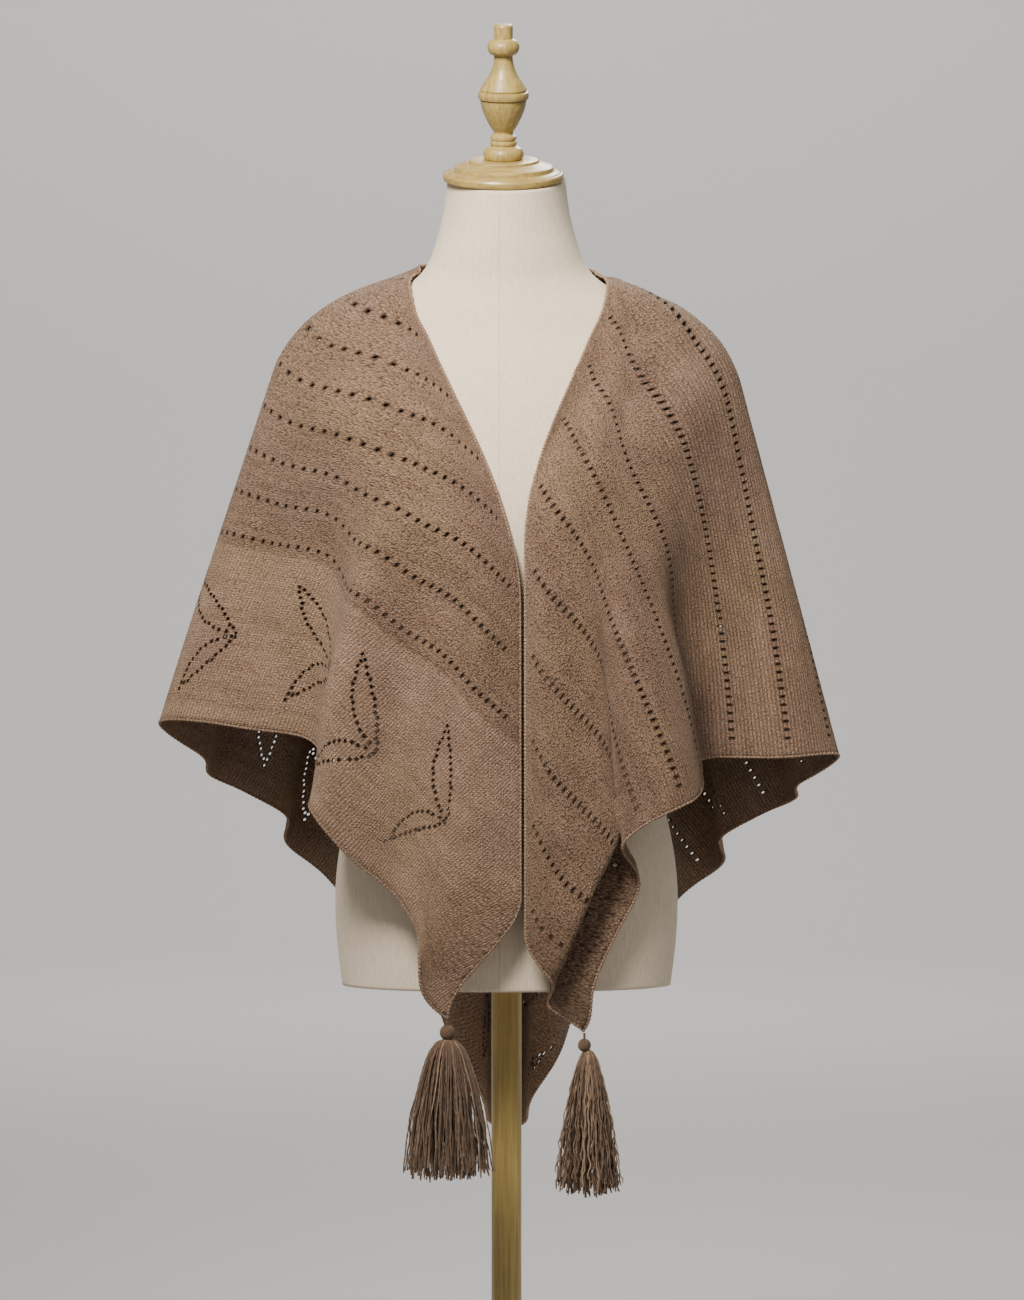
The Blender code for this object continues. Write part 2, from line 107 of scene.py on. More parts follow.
def ring_quads(rings, around):
    """Quads between rings of points that are stored one ring after another."""
    r, c = np.meshgrid(np.arange(rings - 1), np.arange(around), indexing="ij")
    here, beside = r * around + c, r * around + (c + 1) % around
    return np.stack((here, beside, beside + around, here + around), -1).reshape(-1, 4)


def rings_up(centre, radius, angle, z):
    """Rings round an upright axis: (x + radius cos(angle), y + radius sin(angle), z)."""
    x, y = centre[0] + radius * np.cos(angle), centre[1] + radius * np.sin(angle)
    return np.stack((x, y, z + 0 * angle), -1)


def rings_along(path, size, angle, aside):
    """Rings round a path, or round many: size (cos(angle) across + sin(angle) third), where across
    is square to the path and to aside, and third is square to the path and to across."""
    ahead = np.gradient(path, axis=-2)
    ahead /= np.linalg.norm(ahead, axis=-1, keepdims=True) + 1e-12
    across = np.cross(ahead, np.array(aside))
    across /= np.linalg.norm(across, axis=-1, keepdims=True) + 1e-12
    third = np.cross(ahead, across)
    cos, sin = np.cos(angle)[:, None], np.sin(angle)[:, None]
    return path[..., None, :] + size[..., None] * (cos * across[..., None, :] + sin * third[..., None, :])


def mesh_from(name, points, *arrays):
    """A mesh of these points and of arrays of faces, one row of corners for each face."""
    loops = np.concatenate([a.reshape(-1) for a in arrays]).astype(np.int32)
    sizes = np.concatenate([np.full(len(a), a.shape[1]) for a in arrays]).astype(np.int32)
    starts = np.concatenate(([0], np.cumsum(sizes)[:-1])).astype(np.int32)
    mesh = bpy.data.meshes.new(name)
    mesh.vertices.add(len(points))
    mesh.vertices.foreach_set("co", np.asarray(points, np.float32).reshape(-1))
    mesh.loops.add(len(loops))
    mesh.loops.foreach_set("vertex_index", loops)
    mesh.polygons.add(len(sizes))
    mesh.polygons.foreach_set("loop_start", starts)
    mesh.polygons.foreach_set("loop_total", sizes)
    mesh.update(calc_edges=True)
    mesh.validate()
    mesh.polygons.foreach_set("use_smooth", np.ones(len(mesh.polygons), bool))
    return mesh


def ring_mesh(name, rings):
    """A mesh of rings of points, from an array of ring, place in the ring, and x, y, z."""
    return mesh_from(name, rings.reshape(-1, 3), ring_quads(*rings.shape[:2]))


def place_in_scene(name, data, place=(0, 0, 0)):
    """An object with this data, put into the scene at place."""
    placed = bpy.data.objects.new(name, data)
    placed.location = place
    bpy.context.scene.collection.objects.link(placed)
    return placed


def add_piece(mesh, slot, *nodes):
    """Puts a mesh in the scene as a piece of the model that stands for these CAD nodes."""
    piece = place_in_scene(mesh.name, mesh)
    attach(piece, "root")
    if nodes:
        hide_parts(*nodes)
    print(mesh.name, len(mesh.vertices), "points", len(mesh.polygons), "faces")
    return piece


def set_uv(mesh, values, name="cloth"):
    """Gives each corner of the mesh the pair of numbers that belongs to its vertex."""
    corner = np.empty(len(mesh.loops), np.int32)
    mesh.loops.foreach_get("vertex_index", corner)
    layer = mesh.uv_layers.new(name=name)
    layer.data.foreach_set("uv", np.asarray(values, np.float32)[corner].reshape(-1))


# %% [markdown]
# The shawl is described flat first, as it came off the needles. A point of it is (a, b): a is
# the distance from the hem at the wearer's left and b the distance from the hem at the wearer's
# right. The edge where a + b is the side of the square goes round the neck.
#
# Worn, the cloth fans out from the two sides of the neck. Each ray of the fan goes over the
# shoulder and then falls. A table with one row for each fold says where its ray starts to fall
# and where it meets the hem. Each ray keeps its own length, so the cloth gives only across them.

# %% The flat cloth and the rays of its fan
SIDE = 1.300
NECK_HALF = 0.105
STRIP = 12.0

NECK_X, NECK_Y, NECK_Z = (-0.084, 0.092), 0.004, (1.377, 1.371)
NAPE_DEPTH, NAPE_RISE = 0.066, 0.012

# turn in degrees; in mm: run where the fall starts, x and y there, x, y and z at the hem
RAYS = np.array((
    (-102, 395, 16.5, -128, 17.5, -136, 637),
    (-97, 378, -12, -140, -58, -150, 693),
    (-92, 352, -42, -143, -100, -130, 752),
    (-87, 312, -74, -138, -143, -134, 789),
    (-82, 288, -105, -129, -184, -140, 838),
    (-78, 262, -131, -115, -181, -98, 857),
    (-74, 250, -157, -96, -181, -58, 897),
    (-69, 230, -186, -68, -235, -40, 914),
    (-64, 210, -210, -36, -287, -22, 921),
    (-57, 190, -229, 4, -342, 4, 922),
    (-50, 195, -222, 34, -322, 44, 898),
    (-42, 205, -196, 66, -284, 88, 864),
    (-32, 215, -158, 98, -226, 130, 812),
    (-22, 220, -118, 118, -160, 162, 730),
    (-12, 220, -78, 128, -74, 182, 625),
    (0, 220, 4, 130, 4, 188, 490),
    (12, 220, 86, 128, 80, 182, 620),
    (22, 220, 126, 118, 164, 162, 716),
    (32, 215, 164, 98, 228, 130, 790),
    (42, 205, 202, 66, 282, 88, 840),
    (50, 195, 226, 34, 316, 44, 868),
    (57, 190, 236, 4, 334, 4, 889),
    (64, 210, 216, -36, 274, -14, 887),
    (70, 230, 186, -70, 211, -34, 886),
    (74, 245, 160, -92, 194, -76, 876),
    (78, 260, 134, -110, 191, -120, 856),
    (84, 275, 110, -124, 142, -144, 828),
    (88, 285, 92, -132, 114, -142, 800),
    (92, 302, 73, -138, 121, -134, 765),
    (95, 310, 58, -140, 99, -138, 721),
    (98, 318, 40, -138, 61, -144, 669),
    (102, 325, 22.5, -128, 22.5, -132, 622),
))
RAYS[:, 1:] /= 1000


def fan_of(a, b):
    """The ray and the run along it of each point. Beyond the strip behind the neck the ray is the
    angle, and the run the distance, from the side of the neck."""
    s = (b - a) / math.sqrt(2)
    t = (SIDE - a - b) / math.sqrt(2)
    over = np.abs(s) - NECK_HALF
    angle = np.degrees(np.arctan2(np.maximum(over, 0), np.maximum(t, 1e-9)))
    turn = np.where(over > 0, STRIP + angle, STRIP * np.abs(s) / NECK_HALF)
    run = np.where(over > 0, np.hypot(over, t), t)
    return np.where(s < 0, -1.0, 1.0) * turn, run


def hem_run(turn):
    """The length of each ray: (edge - half) / (sin + cos of its angle), edge being SIDE / sqrt 2."""
    size = np.abs(turn)
    fan = np.radians(np.maximum(size - STRIP, 0))
    edge = SIDE / math.sqrt(2)
    fanned = (edge - NECK_HALF) / (np.sin(fan) + np.cos(fan))
    return np.where(size > STRIP, fanned, edge - NECK_HALF * size / STRIP)


def neck_edge(turn):
    """The start of each ray: the side of the neck, or a point of the half oval behind it."""
    side = np.clip(turn / STRIP, -1, 1)
    angle = side * math.pi / 2
    x = (NECK_X[0] + NECK_X[1]) / 2 + (NECK_X[1] - NECK_X[0]) / 2 * np.sin(angle)
    y = NECK_Y + NAPE_DEPTH * np.cos(angle)
    ends = NECK_Z[0] + (NECK_Z[1] - NECK_Z[0]) * (side + 1) / 2
    return x, y, ends + NAPE_RISE * np.cos(angle)


print("neck edge", round(SIDE * math.sqrt(2), 3), "m, arm ray", round(float(hem_run(57.0)), 3), "m")

# %% [markdown]
# Under the cloth stands the form. Its sections are ovals, a little squared, and the same table
# serves twice: the cloth is kept off the form with it, and later the form itself is made from it.

# %% The form's sections
# in mm: height, half width, depth in front of y = 0, depth behind it; squareness
FORM_SECTIONS = np.array((
    (660, 164, 99, 108, 2.1),
    (700, 169, 103, 112, 2.1),
    (770, 170, 105, 114, 2.1),
    (850, 154, 98, 104, 2.1), (930, 132, 88, 90, 2.1), (990, 134, 90, 86, 2.1),
    (1060, 160, 110, 98, 2.2),
    (1120, 172, 120, 107, 2.2),
    (1190, 182, 112, 111, 2.15),
    (1245, 193, 98.5, 106, 2.0),
    (1283, 190.5, 86, 95, 1.75),
    (1308, 180, 77, 85, 1.62),
    (1329, 158, 72, 78, 1.62),
    (1346.5, 125, 68, 73, 1.66),
    (1362, 95, 66, 69, 1.85), (1378, 80, 67, 66, 2.0), (1400, 71, 68, 62, 2.0),
    (1430, 63, 69, 55, 2.0),
    (1461.5, 59, 70, 48, 2.0),
))
FORM_SECTIONS[:, :4] /= 1000
FORM_LEAN_X = 0.0035
NECK_GAP = 0.0027
BODY_GAP = 0.0095
NECK_SIDE, NECK_OVER = 0.089, 0.022
MOST_PUSH = 0.02


def form_inside(x, y, z):
    """(|x| / half width)^n + (|y| / depth)^n, to the power 1/n, less 1: below 0 inside the form."""
    rows = FORM_SECTIONS
    level = np.clip(z, rows[0, 0], rows[-1, 0])
    half, front, back, square = read(rows, level, 1, 2, 3, 4)
    across = np.abs(x - FORM_LEAN_X) / half
    along = np.abs(y) / np.where(y < 0, front, back)
    return (across**square + along**square) ** (1 / square) - 1


def off_the_form(points):
    """Moves what lies too near straight out, by gap - value / steepness, a few times over."""
    points = points.copy()
    from_neck = ease((np.abs(points[:, 0] - FORM_LEAN_X) - NECK_SIDE) / NECK_OVER)
    gap = NECK_GAP + (BODY_GAP - NECK_GAP) * from_neck
    tiny = 1e-5
    for _ in range(12):
        x, y, z = points.T
        here = form_inside(x, y, z)
        nearby = [form_inside(*place) for place in ((x + tiny, y, z), (x, y + tiny, z), (x, y, z + tiny))]
        slope = (np.stack(nearby, 1) - here[:, None]) / tiny
        steep = np.linalg.norm(slope, axis=1) + 1e-9
        points += slope / steep[:, None] * np.clip(gap - here / steep, 0, MOST_PUSH)[:, None]
    return points


print("middle of the chest", np.round(form_inside(np.array([0.0]), np.array([-0.05]), np.array([1.2])), 2))

# %% [markdown]
# Now each ray is followed from the neck to the hem. Over the shoulder its course is a Hermite
# curve, which leaves in one direction and arrives in another. Beyond that it is straight. What
# a short step doesn't spend on going outward it spends on going down, so the length is kept.
# The back has more cloth than it needs, and swings in soft folds. A strip along the hem of each
# front leaves the fall: it trails to the point at one side, and is tucked under at the other.
# Last come the smaller creases of the fronts and arms. Each runs along the rays, as the weight of
# the cloth draws it, and is a trough or a ridge with a soft bell-shaped section.

# %% The drape
FRONT_TURN = 102
FOLD_TURN, FOLD_SWING, FOLD_START, FOLD_FULL = 14.0, 1.10, 0.20, 0.60
FOLD_TO, FOLD_OVER = 52, 14
SET_OUT, SET_OUT_MOST, SET_OUT_EDGE, SET_OUT_TURNS = 1.7, 0.90, 1.1, (78, 98)
SET_ASIDE, STEEPEST, EVEN_FROM = 0.50, 0.97, 0.4

# side, distance from the hem where it starts and where it starts at the front edge, over which,
# turn where it starts, over which, moved in x, moved in y
HEM_FOLDS = (
    (-1, 0.085, 0.085, 0.085, 94, 8, -0.071, 0.006),
    (1, 0.075, 0.068, 0.045, 94, 8, 0.030, 0.000),
    (1, 0.054, 0.040, 0.022, 86, 6, -0.020, 0.032),
    (1, 0.034, 0.020, 0.024, 86, 6, 0.032, 0.000),
)
TIP_RUN, TIP_OVER, TIP_SWING = 0.745, 0.070, 0.017
TIP_TURN, TIP_TURNS = 94, 6


def heading(turn, run, rays):
    """The share of a short step that goes in x and in y. Up to the fall it is the derivative of the
    Hermite curve from the neck to there, and beyond it a constant."""
    fall, top_x, top_y, hem_x, hem_y, start_x, start_y = rays
    size = np.hypot(top_x - start_x, top_y - start_y)
    lead_x = top_x - start_x + SET_ASIDE * size * np.clip(turn / STRIP, -1, 1)
    lead_y = top_y - start_y
    to_edge = ease((np.abs(turn) - SET_OUT_TURNS[0]) / (SET_OUT_TURNS[1] - SET_OUT_TURNS[0]))
    pace = SET_OUT + (SET_OUT_EDGE - SET_OUT) * to_edge
    lead = np.minimum(SET_OUT_MOST, pace * size / fall) / np.hypot(lead_x, lead_y)
    below = np.maximum(hem_run(turn) - fall, 0.05)
    p = np.clip(run / fall, 0, 1)
    shares = []
    for start, top, hem, first in (
        (start_x, top_x, hem_x, lead_x * lead),
        (start_y, top_y, hem_y, lead_y * lead),
    ):
        last = (hem - top) / below
        rise = 6 * (p - p * p) * (top - start) / fall
        upper = rise + (1 - 4 * p + 3 * p * p) * first + (3 * p * p - 2 * p) * last
        shares.append(np.where(run < fall, upper, last))
    return shares


def ray_end(turn, run, rays, start_z, steps=64):
    """Adds up the short steps: the sideways shares as they are, and sqrt(1 - share^2) downwards."""
    x, y, z = rays[5].copy(), rays[6].copy(), start_z.copy()
    for i in range(steps):
        share_x, share_y = heading(turn, run * (i + 0.5) / steps, rays)
        size = np.hypot(share_x, share_y)
        limit = np.minimum(1, STEEPEST / np.maximum(size, 1e-9))
        x += share_x * limit * run / steps
        y += share_y * limit * run / steps
        z -= np.sqrt(1 - (size * limit) ** 2) * run / steps
    return x, y, z


def fold_back(turn, run, x, y):
    """Out along the normal by w s cos(phase) and along the cloth by w s^2 / 8 sin(2 phase), where w
    is the fold's width over 2 pi and s its swing: the cloth keeps its length as it winds."""
    width = math.radians(FOLD_TURN) * np.maximum(run, 0.05) / (2 * math.pi)
    grow = np.sqrt(ease((run - FOLD_START) / (FOLD_FULL - FOLD_START)))
    swing = FOLD_SWING * grow * ease((FOLD_TO - np.abs(turn)) / FOLD_OVER)
    phase = 2 * math.pi * turn / FOLD_TURN
    along_x, along_y = np.subtract(read(RAYS, turn + 1, 4, 5), read(RAYS, turn - 1, 4, 5))
    size = np.hypot(along_x, along_y)
    along_x, along_y = along_x / size, along_y / size
    out = width * swing * np.cos(phase)
    side = width * swing**2 / 8 * np.sin(2 * phase)
    return x - along_y * out + along_x * side, y + along_x * out + along_y * side


def hung(a, b):
    """Where each point of the flat cloth hangs on the form, before the smaller creases."""
    turn, run = fan_of(a, b)
    fall, top_x, top_y, hem_x, hem_y, hem_z = read(RAYS, turn, *range(1, 7))
    start_x, start_y, start_z = neck_edge(turn)
    rays = (fall, top_x, top_y, hem_x, hem_y, start_x, start_y)
    whole = hem_run(turn)
    x, y, z = ray_end(turn, run, rays, start_z)
    lowest = ray_end(turn, whole, rays, start_z)[2]
    z = z + (hem_z - lowest) * ease((run - EVEN_FROM * fall) / (whole - EVEN_FROM * fall))
    x, y = fold_back(turn, run, x, y)
    for side, start, start_edge, over, from_turn, turns, move_x, move_y in HEM_FOLDS:
        hem = a if side > 0 else b
        to_edge = ease((side * turn - from_turn) / (FRONT_TURN - from_turn))
        near = ease((start + (start_edge - start) * to_edge - hem) / over)
        share = near * ease((side * turn - from_turn) / turns)
        x, y = x + move_x * share, y + move_y * share
    x = x + TIP_SWING * ease((run - TIP_RUN) / TIP_OVER) * ease((turn - TIP_TURN) / TIP_TURNS)
    return off_the_form(np.stack((x, y, z), 1))


# turn where it starts and ends, run where it starts and ends, height (below 0 a trough), half width
CREASES = (
    (-88, -88, 0.30, 0.62, -0.0055, 0.017),
    (-94, -96, 0.50, 0.66, -0.0030, 0.014),
    (-64, -68, 0.28, 0.58, -0.0080, 0.020),
    (-82, -80, 0.24, 0.62, 0.0080, 0.018),
    (-95, -99, 0.35, 0.55, 0.0030, 0.014),
    (95, 96, 0.39, 0.65, -0.0035, 0.014),
    (76, 68, 0.32, 0.68, -0.0150, 0.024),
    (99, 99, 0.36, 0.56, 0.0025, 0.012),
    (87, 80, 0.30, 0.68, 0.0100, 0.020),
    (61, 63, 0.33, 0.66, 0.0060, 0.020),
)


def crease_height(turn, run):
    """The sum of height exp(-(distance from the crease's middle / half width)^2), faded at its ends."""
    total = np.zeros_like(turn)
    for from_turn, to_turn, from_run, to_run, height, half in CREASES:
        way = (run - from_run) / (to_run - from_run)
        middle = from_turn + (to_turn - from_turn) * np.clip(way, 0, 1)
        distance = np.radians(turn - middle) * run
        fade = ease(way / 0.4) * ease((1 - way) / 0.3)
        total += height * np.exp(-((distance / half) ** 2)) * fade
    return total


def normal_of(place, a, b):
    """The cloth's outward direction: the cross product of two short ways along it."""
    small = 0.0015
    toward = np.where(a < SIDE / 3, 1.0, -1.0), np.where(b < SIDE / 3, 1.0, -1.0)
    here = place(a, b)
    side_a = place(a + toward[0] * small, b) - here
    side_b = place(a, b + toward[1] * small) - here
    normal = np.cross(side_a, side_b) * (toward[0] * toward[1])[:, None]
    return here, normal / (np.linalg.norm(normal, axis=1)[:, None] + 1e-12)


def worn(a, b):
    """Where each point of the flat cloth lies at last, creases and all: the cloth's inner side."""
    here, normal = normal_of(hung, a, b)
    return off_the_form(here + normal * crease_height(*fan_of(a, b))[:, None])


tips = worn(np.array([SIDE, 0.0, 0.0]), np.array([0.0, SIDE, 0.0]))
print("front points and back point", np.round(tips, 3).tolist())

# %% [markdown]
# The lace is charted on the stitches. A chart place is (a, v): v counts the rows, and is b where
# a row meets the left hem. The rows lie level with the right hem at first and tilt a little
# towards the left front, so b has to be found from a and v.
#
# A line of eyelets is knitted every eighth row, with an eyelet at every second stitch. Along the
# wearer's right hem runs a smooth band with pairs of slim leaves that meet at a point. A leaf is
# drawn by two arcs of eyelets from one root. Each eyelet of an arc belongs to the nearest
# stitch, and pulls that stitch a little towards its true place, as a real one does.

# %% The chart of eyelets
ROW_TILT, TILT_FROM, TILT_OVER = 0.20, 0.55, 0.35
COLUMNS, ROWS = 304, 216
STITCH, ROW = SIDE / COLUMNS, SIDE / ROWS
FIRST_LINE, LINE_ROWS = 34, 8
NECK_MARGIN, HEM_MARGIN, LEAF_MARGIN = 0.016, 0.012, 0.015
BAND = 0.196
LEAVES, LEAF_STEP, LAST_LEAF, LEAF_ROOT = 11, 0.108, 1.109, 0.095

# direction in degrees, length, width, eyelets on each arc, bend of the whole leaf
LEAF_SHAPES = (
    (137, 0.096, 0.021, 16, 0.006),
    (-123, 0.074, 0.018, 13, -0.005),
)


def row_bent(a, v):
    """Solves b = v - tilt a ease((b - from) / over) by putting b back in until it settles."""
    b = v
    for _ in range(40):
        b = v - ROW_TILT * a * ease((b - TILT_FROM) / TILT_OVER)
    return b


def leaf(root_a, root_b, lean, long, wide, count, bend):
    """Two arcs from one root: long t along the leaf and (+-wide / 2 + bend) sin(pi t) to the side."""
    t = np.linspace(0.03, 1.0, count)
    along_a, along_b = math.cos(math.radians(lean)), math.sin(math.radians(lean))
    points = []
    for sign in (-1, 1):
        side = (sign * wide / 2 + bend) * np.sin(math.pi * t**0.9)
        a = root_a + long * t * along_a - side * along_b
        b = root_b + long * t * along_b + side * along_a
        points.append(np.stack((a, b), 1))
    return np.concatenate(points)


row_number, column_number = np.meshgrid(np.arange(ROWS), np.arange(COLUMNS), indexing="ij")
middle_a, middle_v = (column_number + 0.5) * STITCH, (row_number + 0.5) * ROW
middle = np.stack((middle_a, middle_v), -1)
on_cloth = middle_a + row_bent(middle_a, middle_v) < SIDE - NECK_MARGIN
in_line = (row_number >= FIRST_LINE) & ((row_number - FIRST_LINE) % LINE_ROWS == 0)
eyelets = in_line & (column_number % 2 == 0) & (middle_a > HEM_MARGIN) & on_cloth

roots = LAST_LEAF - LEAF_STEP * np.arange(LEAVES)
leaf_points = np.concatenate([leaf(root, LEAF_ROOT, *shape) for root in roots for shape in LEAF_SHAPES])
leaf_points = leaf_points[leaf_points[:, 0] > LEAF_MARGIN]
leaf_cells = tuple((leaf_points[:, ::-1] / (ROW, STITCH)).astype(int).T)
in_leaf = np.zeros((ROWS, COLUMNS), bool)
in_leaf[leaf_cells] = True
pull = np.zeros((ROWS, COLUMNS, 2))
pull[leaf_cells] = leaf_points - middle[leaf_cells]
in_leaf &= on_cloth
pull *= in_leaf[..., None]
eyelets |= in_leaf
print("eyelets in lines", int((eyelets & ~in_leaf).sum()), "in leaves", int(in_leaf.sum()))

# %% [markdown]
# The cloth's mesh is the chart itself: one face for each stitch, and a frame of eight faces round
# a hole for each eyelet. Points past the neck edge slide back onto it, so that edge is straight.
# The flat place of each point is kept as its UV, in metres. The stitches of the material follow
# it, and so they bend and hang with the cloth.

# %% The shawl
CLOTH_THICK = 0.0019
LINE_HOLE = np.array((0.00108, 0.0023))
LEAF_HOLE = np.array((0.00142, 0.0019))
OPENED, OWN_PULL = 0.0008, 0.0005

# Where each row ends: the a at which it meets the neck edge, found by halving
row_end, too_far = np.zeros(ROWS + 1), np.full(ROWS + 1, SIDE)
for _ in range(50):
    half = (row_end + too_far) / 2
    short = half + row_bent(half, np.arange(ROWS + 1) * ROW) < SIDE
    row_end, too_far = np.where(short, half, row_end), np.where(short, too_far, half)
last_column = np.ceil(row_end / STITCH - 1e-6).astype(int)


def corner_index(row, column):
    """The number of a corner of the chart; corners past the neck edge become the last one there."""
    return row * (COLUMNS + 1) + np.minimum(column, last_column[row])


# A corner moves with the mean of the pulled stitches that share it
corner_pull = np.zeros((ROWS + 1, COLUMNS + 1, 2))
sharing = np.zeros((ROWS + 1, COLUMNS + 1, 1))
views = [np.s_[down : ROWS + down, right : COLUMNS + right] for down in (0, 1) for right in (0, 1)]
for view in views:
    corner_pull[view] += pull
    sharing[view] += in_leaf[..., None]
corner_pull /= np.maximum(sharing, 1)

every_row, every_column = np.meshgrid(np.arange(ROWS + 1), np.arange(COLUMNS + 1), indexing="ij")
corner_a = np.minimum(every_column * STITCH, row_end[:, None]) + corner_pull[..., 0]
corner_v = every_row * ROW + corner_pull[..., 1]
# The rows of eyelets are drawn open: their two sides move apart
line_rows = np.arange(FIRST_LINE, ROWS, LINE_ROWS)
corner_v[line_rows] -= OPENED
corner_v[line_rows + 1] += OPENED
chart = np.stack((corner_a, corner_v), -1).reshape(-1, 2)

r, c = row_number.reshape(-1), column_number.reshape(-1)
hole = eyelets.reshape(-1)
corners = ((0, 0), (0, 1), (1, 1), (1, 0))
quads = np.stack([corner_index(r + down, c + right) for down, right in corners], 1)
apart = quads != np.roll(quads, -1, axis=1)
whole_quads = quads[~hole & apart.all(1)]
# A cell cut by the neck edge loses a corner: its other three make a triangle
cut = ~hole & (apart.sum(1) == 3)
keep_corner = (np.argmin(apart[cut], axis=1)[:, None] + np.arange(1, 4)) % 4
cut_triangles = np.take_along_axis(quads[cut], keep_corner, 1)

# Six points round each hole, and the eight faces between them and the stitch's four corners
mean_pull = sum(corner_pull[view] for view in views) / 4
own_pull = mean_pull + np.clip(pull - mean_pull, -OWN_PULL, OWN_PULL)
centre = (middle + own_pull).reshape(-1, 2)[hole]
size = np.where(in_leaf.reshape(-1)[hole][:, None], LEAF_HOLE, LINE_HOLE)
hexagon = np.radians(np.array([-120, -60, 0, 60, 120, 180]))
unit = np.stack((np.cos(hexagon), np.sin(hexagon)), 1)
rim = centre[:, None] + unit[None] * size[:, None]
first = len(chart) + 6 * np.arange(len(centre))
h = [first + k for k in range(6)]
q = quads[hole].T
frame_quads, frame_triangles = (
    np.concatenate([np.stack(face, 1) for face in frame_faces])
    for frame_faces in (
        ((q[0], q[1], h[1], h[0]), (q[2], q[3], h[4], h[3])),
        (
            (q[1], h[2], h[1]), (q[1], q[2], h[2]), (q[2], h[3], h[2]),
            (q[3], h[5], h[4]), (q[3], q[0], h[5]), (q[0], h[0], h[5]),
        ),
    )
)
chart = np.concatenate((chart, rim.reshape(-1, 2)))
faces = [whole_quads, cut_triangles, frame_quads, frame_triangles]
used = np.zeros(len(chart), bool)
for group in faces:
    used[group.reshape(-1)] = True
at_rim = (np.arange(len(chart)) >= first[0])[used]
chart, renumber = chart[used], np.cumsum(used) - 1
cloth_points = worn(chart[:, 0], row_bent(chart[:, 0], chart[:, 1]))

shawl_mesh = mesh_from("shawl_cloth", cloth_points, *(renumber[group] for group in faces))
set_uv(shawl_mesh, chart)
set_uv(shawl_mesh, np.stack((at_rim, at_rim), 1), "rim")
shawl = add_piece(shawl_mesh, "shawl_knit", "shawl")
wall = shawl.modifiers.new("wall", "SOLIDIFY")
wall.thickness = CLOTH_THICK
wall.offset = 1
wall.use_even_offset = False

# %% [markdown]
# The edges of the shawl are bound off: a chain of stitches lies along them, thicker and paler
# than the cloth. Each is a fine tube carried along the edge, with a swell at every stitch.

# %% The bound-off edges
EDGE_RADIUS, EDGE_SWELL, EDGE_STITCH = 0.0015, 0.22, 0.0046
EDGE_STEPS, EDGE_SIDES = 900, 6


def edge_chain(name, path):
    """A tube round a path. At length l its radius is radius (1 + swell cos(2 pi l / stitch))."""
    length = np.concatenate(([0], np.cumsum(np.linalg.norm(np.diff(path, axis=0), axis=1))))
    size = EDGE_RADIUS * (1 + EDGE_SWELL * np.cos(2 * math.pi * length / EDGE_STITCH))
    angle = circle(EDGE_SIDES)
    mesh = ring_mesh(name, rings_along(path, size[:, None], angle, (0.31, 0.17, 0.93)))
    along, across = np.repeat(length, EDGE_SIDES), np.tile(angle * EDGE_RADIUS, len(path))
    set_uv(mesh, np.stack((along, across), 1))
    return mesh


way = np.linspace(0, SIDE, EDGE_STEPS)
zero = np.zeros_like(way)
edges = []
for name, a, b in (
    ("hem_right_edge", way, zero + 0.0004),
    ("hem_left_edge", zero + 0.0004, way),
    ("neck_edge", way, SIDE - way),
):
    # Just inside the cloth, where its two nearby points are cloth as well
    inner = np.clip(a, 0.0006, SIDE - 0.0012), np.clip(b, 0.0006, SIDE - 0.0012)
    if name == "neck_edge":
        inner = a * 0.9996 + 0.0001, b * 0.9996 + 0.0001
    here, normal = normal_of(worn, *inner)
    edges.append(add_piece(edge_chain(name, here + normal * CLOTH_THICK * 0.5), "shawl_knit"))

# %% [markdown]
# The form is a covered body with a neck. It is made again from the table of its sections, with
# many more points round and up, so that the shoulders and the neck are smooth.

# %% The form
CAP_CENTRE = (0.0005, -0.012, 1.4619)
CAP_LEAN = math.radians(16)
LEAN_FROM, LEAN_OVER = 1.385, 0.07
LEVELS, AROUND = 260, 144


def form_surface(levels, around):
    """Ring after ring: x = half cos|cos|^(2/n - 1) and y = depth sin|sin|^(2/n - 1) at height z.
    Towards the top the rings tilt as the cap does."""
    z = np.linspace(FORM_SECTIONS[0, 0], FORM_SECTIONS[-1, 0], levels)[:, None]
    half, front, back, square = read(FORM_SECTIONS, z, 1, 2, 3, 4)
    cos, sin = np.cos(circle(around)), np.sin(circle(around))
    x = FORM_LEAN_X + half * np.sign(cos) * np.abs(cos) ** (2 / square)
    y = np.where(sin < 0, front, back) * np.sign(sin) * np.abs(sin) ** (2 / square)
    tilt = math.tan(CAP_LEAN) * ease((z - LEAN_FROM) / LEAN_OVER)
    return np.stack((x, y, z + tilt * (y - CAP_CENTRE[1])), -1)


body = form_surface(LEVELS, AROUND)
points = np.concatenate((body.reshape(-1, 3), [body[0].mean(0), body[-1].mean(0)]))
this = np.arange(AROUND)
after, top_ring = (this + 1) % AROUND, (LEVELS - 1) * AROUND
under = np.stack((np.full(AROUND, LEVELS * AROUND), after, this), 1)
over = np.stack((np.full(AROUND, LEVELS * AROUND + 1), top_ring + this, top_ring + after), 1)
form_mesh = mesh_from("form_cover", points, ring_quads(LEVELS, AROUND), under, over)
form = add_piece(form_mesh, "form_cloth", "torso")

# %% [markdown]
# The cap, the finial, the pole and the base are turned wood. A turner works from a profile of
# heights and radii, and so does this: the profile is carried round its axis. Its edges stay sharp
# where two faces meet at more than SHARP, and are shaded smooth elsewhere.

